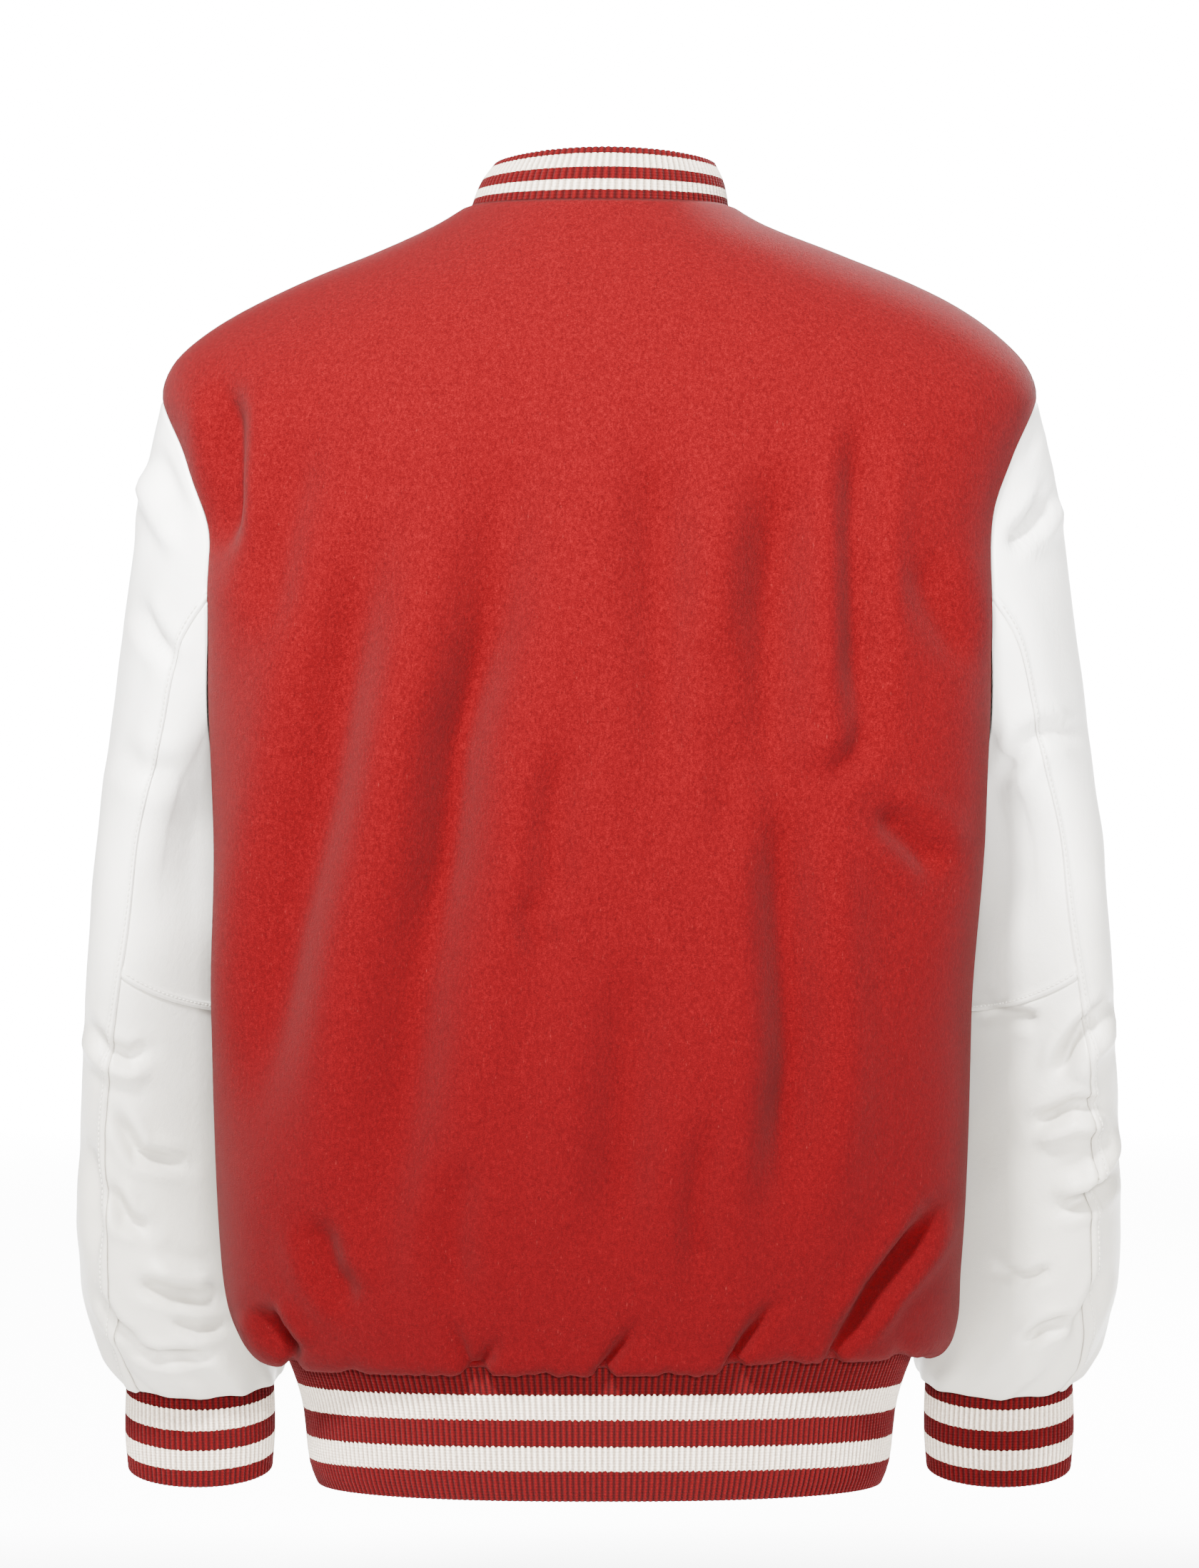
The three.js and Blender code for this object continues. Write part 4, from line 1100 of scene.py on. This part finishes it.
def rib_band(name, surface, normal, angles, closed, material, side=1):
    """A band of rib knit: ribs outside, plainer ribs inside, with round folded edges."""
    levels = np.linspace(0, 2, 41)
    line = surface(np.full(len(levels), math.pi / 2), levels)
    travelled = travel(line)
    height = travelled[-1]
    half = RIB / 2
    inset = 2 * half / height
    outer_v = np.linspace(inset, 2 - inset, 15)
    profile = [(v, 0.0, 1.0) for v in outer_v]
    for k in range(1, 5):
        turn = math.pi * k / 5
        below = 2 - inset + inset * math.sin(turn)
        profile.append((below, half * (1 - math.cos(turn)), math.cos(turn / 2)))
    profile += [(v, RIB, -0.35) for v in outer_v[::-3]]
    for k in range(1, 5):
        turn = math.pi * k / 5
        profile.append((inset - inset * math.sin(turn), half * (1 + math.cos(turn)), math.sin(turn / 2)))
    columns = np.arange(len(angles))
    phase = (columns / RIB_POINTS) % 1
    valley = RIB_DEPTH * np.exp(-(((phase - 0.5) / 0.2) ** 2))
    rows, heights = [], []
    for v, offset, ribbed in profile:
        down = np.full(len(angles), v)
        p = surface(angles, down)
        way = normal(angles, np.clip(down, 0.05, 1.95))
        rows.append(p - way * (offset + valley * ribbed)[:, None])
        heights.append(np.interp(v, levels, travelled) / height)
    grid = np.array(rows)
    count = grid.shape[1] - (1 if closed else 0)
    grid = on_side(grid[:, :count], side)
    loops = len(grid)
    index = np.arange(loops)[:, None] * count + np.arange(count)[None, :]
    right = np.roll(index, -1, axis=1) if closed else index[:, 1:]
    left = index if closed else index[:, :-1]
    lower_left, lower_right = np.roll(left, -1, axis=0), np.roll(right, -1, axis=0)
    faces = np.stack([left, right, lower_right, lower_left], axis=-1).reshape(-1, 4)
    points = grid.reshape(-1, 3)
    faces = turned_out(points, faces).tolist()
    if not closed:
        faces.append(index[:, 0].tolist())
        faces.append(index[::-1, -1].tolist())
    piece = make_mesh(name, points, faces, material)
    uv = piece.data.uv_layers.new(name="band")
    corner_points = np.empty(len(piece.data.loops), int)
    piece.data.loops.foreach_get("vertex_index", corner_points)
    u = (corner_points % count) / RIB_POINTS
    v = np.array(heights)[corner_points // count]
    uv.data.foreach_set("uv", np.stack([u, v], axis=-1).ravel())
    return piece


def open_band(name, rows, ribs, half_gap, lean, material):
    """A band round the body, open at the front by twice the half gap."""
    rises = -1 if rows["side"][1] > rows["side"][0] else 1

    def surface(angle, down):
        p = ring_point(rows, angle, down)
        p[..., 0] -= lean * down / 2
        return p

    def normal(angle, down):
        return outward(surface, angle, down, 0.02, 0.05) * rises

    start = float(front_end(rows, half_gap, 1))
    end = math.pi - start
    angles = even_angles(lambda a: surface(a, np.ones(len(a))), start, end, ribs * RIB_POINTS)
    return rib_band(name, surface, normal, angles, False, material)


collar_rib = rib_material("collar_rib", COLLAR_STRIPES)
collar = open_band("rib_collar", COLLAR, COLLAR_RIBS, 1.5, COLLAR_LEAN, collar_rib)
keep(collar, ["collar"])
waist_rib = rib_material("waist_rib", WAIST_STRIPES)
waistband = open_band("rib_waistband", WAIST, WAIST_RIBS, TAB_WIDTH + SEAM_GAP, 0, waist_rib)
keep(waistband, ["waistband"])
cuff_rib = rib_material("cuff_rib", CUFF_STRIPES)


def make_cuff(word, side):
    def surface(angle, down):
        return ellipse_point(CUFF, angle, down)

    def normal(angle, down):
        return outward(surface, angle, down, 0.05, 0.05)

    angles = even_angles(lambda a: surface(a, np.ones(len(a))), 0, 2 * math.pi, CUFF_RIBS * RIB_POINTS)
    piece = rib_band("rib_cuff_" + word, surface, normal, angles, True, cuff_rib, side)
    return keep(piece, ["cuff_" + word])


cuffs = {word: make_cuff(word, side) for word, side in (("left", 1), ("right", -1))}


# Wool ends of the waistband

def closer_at_ends(first, second, third, last, counts):
    """Numbers from first to last in three runs, each with its own count."""
    return np.concatenate([
        np.linspace(first, second, counts[0])[:-1],
        np.linspace(second, third, counts[1]),
        np.linspace(third, last, counts[2])[1:],
    ])


def waist_tab(word, side):
    """One wool end; the right one dips under the left where they lap."""
    def surface(angle, down):
        return ring_point(WAIST, angle, down)

    start = float(front_end(WAIST, side * (TAB_WIDTH - SEAM_GAP), 1))
    end = float(front_end(WAIST, -side * LAP, 1))
    share = closer_at_ends(0, 0.12, 0.88, 1, (8, 30, 8))
    down = closer_at_ends(0, 0.1, 1.9, 2, (6, 24, 8))
    angle, down = np.meshgrid(start + (end - start) * share, down)
    p = surface(angle, down)
    way = outward(surface, angle, down, 0.02, 0.05)
    dip = (TAB_WALL + SEAT_GAP) * ease((p[..., 0] + TAB_WIDTH - 6) / 16) if side < 0 else 0 * down
    length = abs(end - start) * TAB_REACH
    edge = np.minimum((angle - start) / (end - start), (end - angle) / (end - start)) * length
    hem = (2 - down) * HALF_WAIST_HEIGHT
    dip = dip + rolled(edge, 0.9) + rolled(hem, 0.9)
    p = p - way * dip[..., None]
    piece = wall("wool_tab_" + word, p, p - way * TAB_CLOTH, wool)
    return keep(piece, ["tab_" + word])


tabs = [waist_tab("left", 1), waist_tab("right", -1)]


# Snaps

def snap(number, seat, way):
    """A pressed snap cap: a domed face inside a rolled rim."""
    sides = SNAP_SIDES
    way = unit(way)
    across = unit(np.cross(way, [0, 0, 1]))
    up = np.cross(across, way)
    points, faces = [seat + way * SNAP_PROFILE[0][1]], []
    for radius, height in SNAP_PROFILE[1:-1]:
        for k in range(sides):
            turn = 2 * math.pi * k / sides
            spoke = across * math.cos(turn) + up * math.sin(turn)
            points.append(seat + way * height + spoke * radius)
    points.append(seat + way * SNAP_PROFILE[-1][1])
    rings = len(SNAP_PROFILE) - 2
    for k in range(sides):
        j = (k + 1) % sides
        faces.append([0, 1 + j, 1 + k])
        for ring in range(rings - 1):
            base = 1 + ring * sides
            faces.append([base + k, base + j, base + sides + j, base + sides + k])
        last = 1 + (rings - 1) * sides
        faces.append([last + k, last + j, len(points) - 1])
    piece = make_mesh(f"snap_cap_{number}", np.array(points), faces, metal)
    return keep(piece, [f"snap_{number}"])


front = np.array([-math.pi / 2])
for number, down in enumerate(SNAP_DOWNS, 1):
    at = np.array([float(down)])
    way = body_normal(front, at)[0]
    snap(number, body_form(front, at)[0] + way * (LAP_STEP + SNAP_GAP), way)
tab_at = np.array([TAB_SNAP_DOWN])
tab_way = outward(lambda a, d: ring_point(WAIST, a, d), front, tab_at, 0.02, 0.05)[0]
snap(len(SNAP_DOWNS) + 1, ring_point(WAIST, front, tab_at)[0] + tab_way * SNAP_GAP, tab_way)


# Topstitching down the edge of the left front

def placket_stitching():
    downs = np.linspace(4, 742, 400)
    angles = front_end(BODY, -(LAP - 6), downs)
    normal = body_normal(angles, downs)
    path = body_surface(angles, downs) + normal * (LAP_STEP + 0.1)
    stitches("placket_thread", path, normal, red_thread, 2.6, 3.6, 0.36)


placket_stitching()


# Floor, light and camera

def studio_sheet(name, corners, emission, side=-1):
    """A flat part of the studio that glows beyond a distance from the jacket, on one side of it."""
    mesh = bpy.data.meshes.new(name)
    mesh.from_pydata(corners, [], [(0, 1, 2, 3)])
    sheet = bpy.data.objects.new(name, mesh)
    bpy.context.scene.collection.objects.link(sheet)
    n = Nodes(name)
    mottle = n.noise(0.8, 2, 0.5)
    n.feed("Base Color", n.mix(mottle, (0.84, 0.84, 0.84), (0.88, 0.88, 0.88)))
    away = n.math("SUBTRACT", n.times(n.place_along(1), side), GLOW_START)
    glow = n.times(away, GLOW_RISE, clamp=True)
    n.feed("Emission Strength", n.times(glow, emission))
    mesh.materials.append(n.finish(Roughness=0.95, Emission_Color=(1, 1, 1, 1)))


def studio():
    """A pale floor, a glowing wall beyond the jacket and a dim one behind the camera."""
    def upright(half, y):
        corners = ((half, FLOOR_HEIGHT), (-half, FLOOR_HEIGHT), (-half, WALL_TOP), (half, WALL_TOP))
        return [(x, y, z) for x, z in corners]

    far = FLOOR_HALF
    floor = [(x, y, FLOOR_HEIGHT) for x, y in ((-far, -far), (far, -far), (far, far), (-far, far))]
    studio_sheet("studio_floor", floor, 9.0)
    studio_sheet("studio_wall", upright(WALL_HALF, -WALL_AWAY), 12.0)
    studio_sheet("studio_near_wall", upright(-WALL_HALF, WALL_AWAY), 1.4, 1)
    world = bpy.data.worlds.new("studio")
    world.use_nodes = True
    background = world.node_tree.nodes["Background"]
    background.inputs["Color"].default_value = (1, 1, 1, 1)
    background.inputs["Strength"].default_value = 0.4
    bpy.context.scene.world = world


def look_rotation(way):
    return Vector(way).to_track_quat("-Z", "Y").to_euler()


def area_light(name, place, target, size, power):
    data = bpy.data.lights.new(name, "AREA")
    data.size = size
    data.energy = power
    light = bpy.data.objects.new(name, data)
    light.location = place
    light.rotation_euler = look_rotation(np.array(target) - np.array(place))
    bpy.context.scene.collection.objects.link(light)


studio()
area_light("key", (0.5, 1.75, 1.35), (0, 0, -0.2), 0.35, 410)
area_light("fill", (-0.2, 3.3, 0.1), (0, 0, -0.3), 0.6, 300)
area_light("front_key", (-1.6, -2.8, 1.6), (0, 0, -0.3), 1.0, 420)

camera_data = bpy.data.cameras.new("camera")
camera_data.sensor_width = SENSOR
camera_data.lens = FOCAL_PIXELS * SENSOR / IMAGE_HEIGHT
camera = bpy.data.objects.new("camera", camera_data)
camera.location = (0, CAMERA_DISTANCE, CAMERA_HEIGHT)
camera.rotation_euler = look_rotation((0, -1, 0))
bpy.context.scene.collection.objects.link(camera)
bpy.context.scene.camera = camera
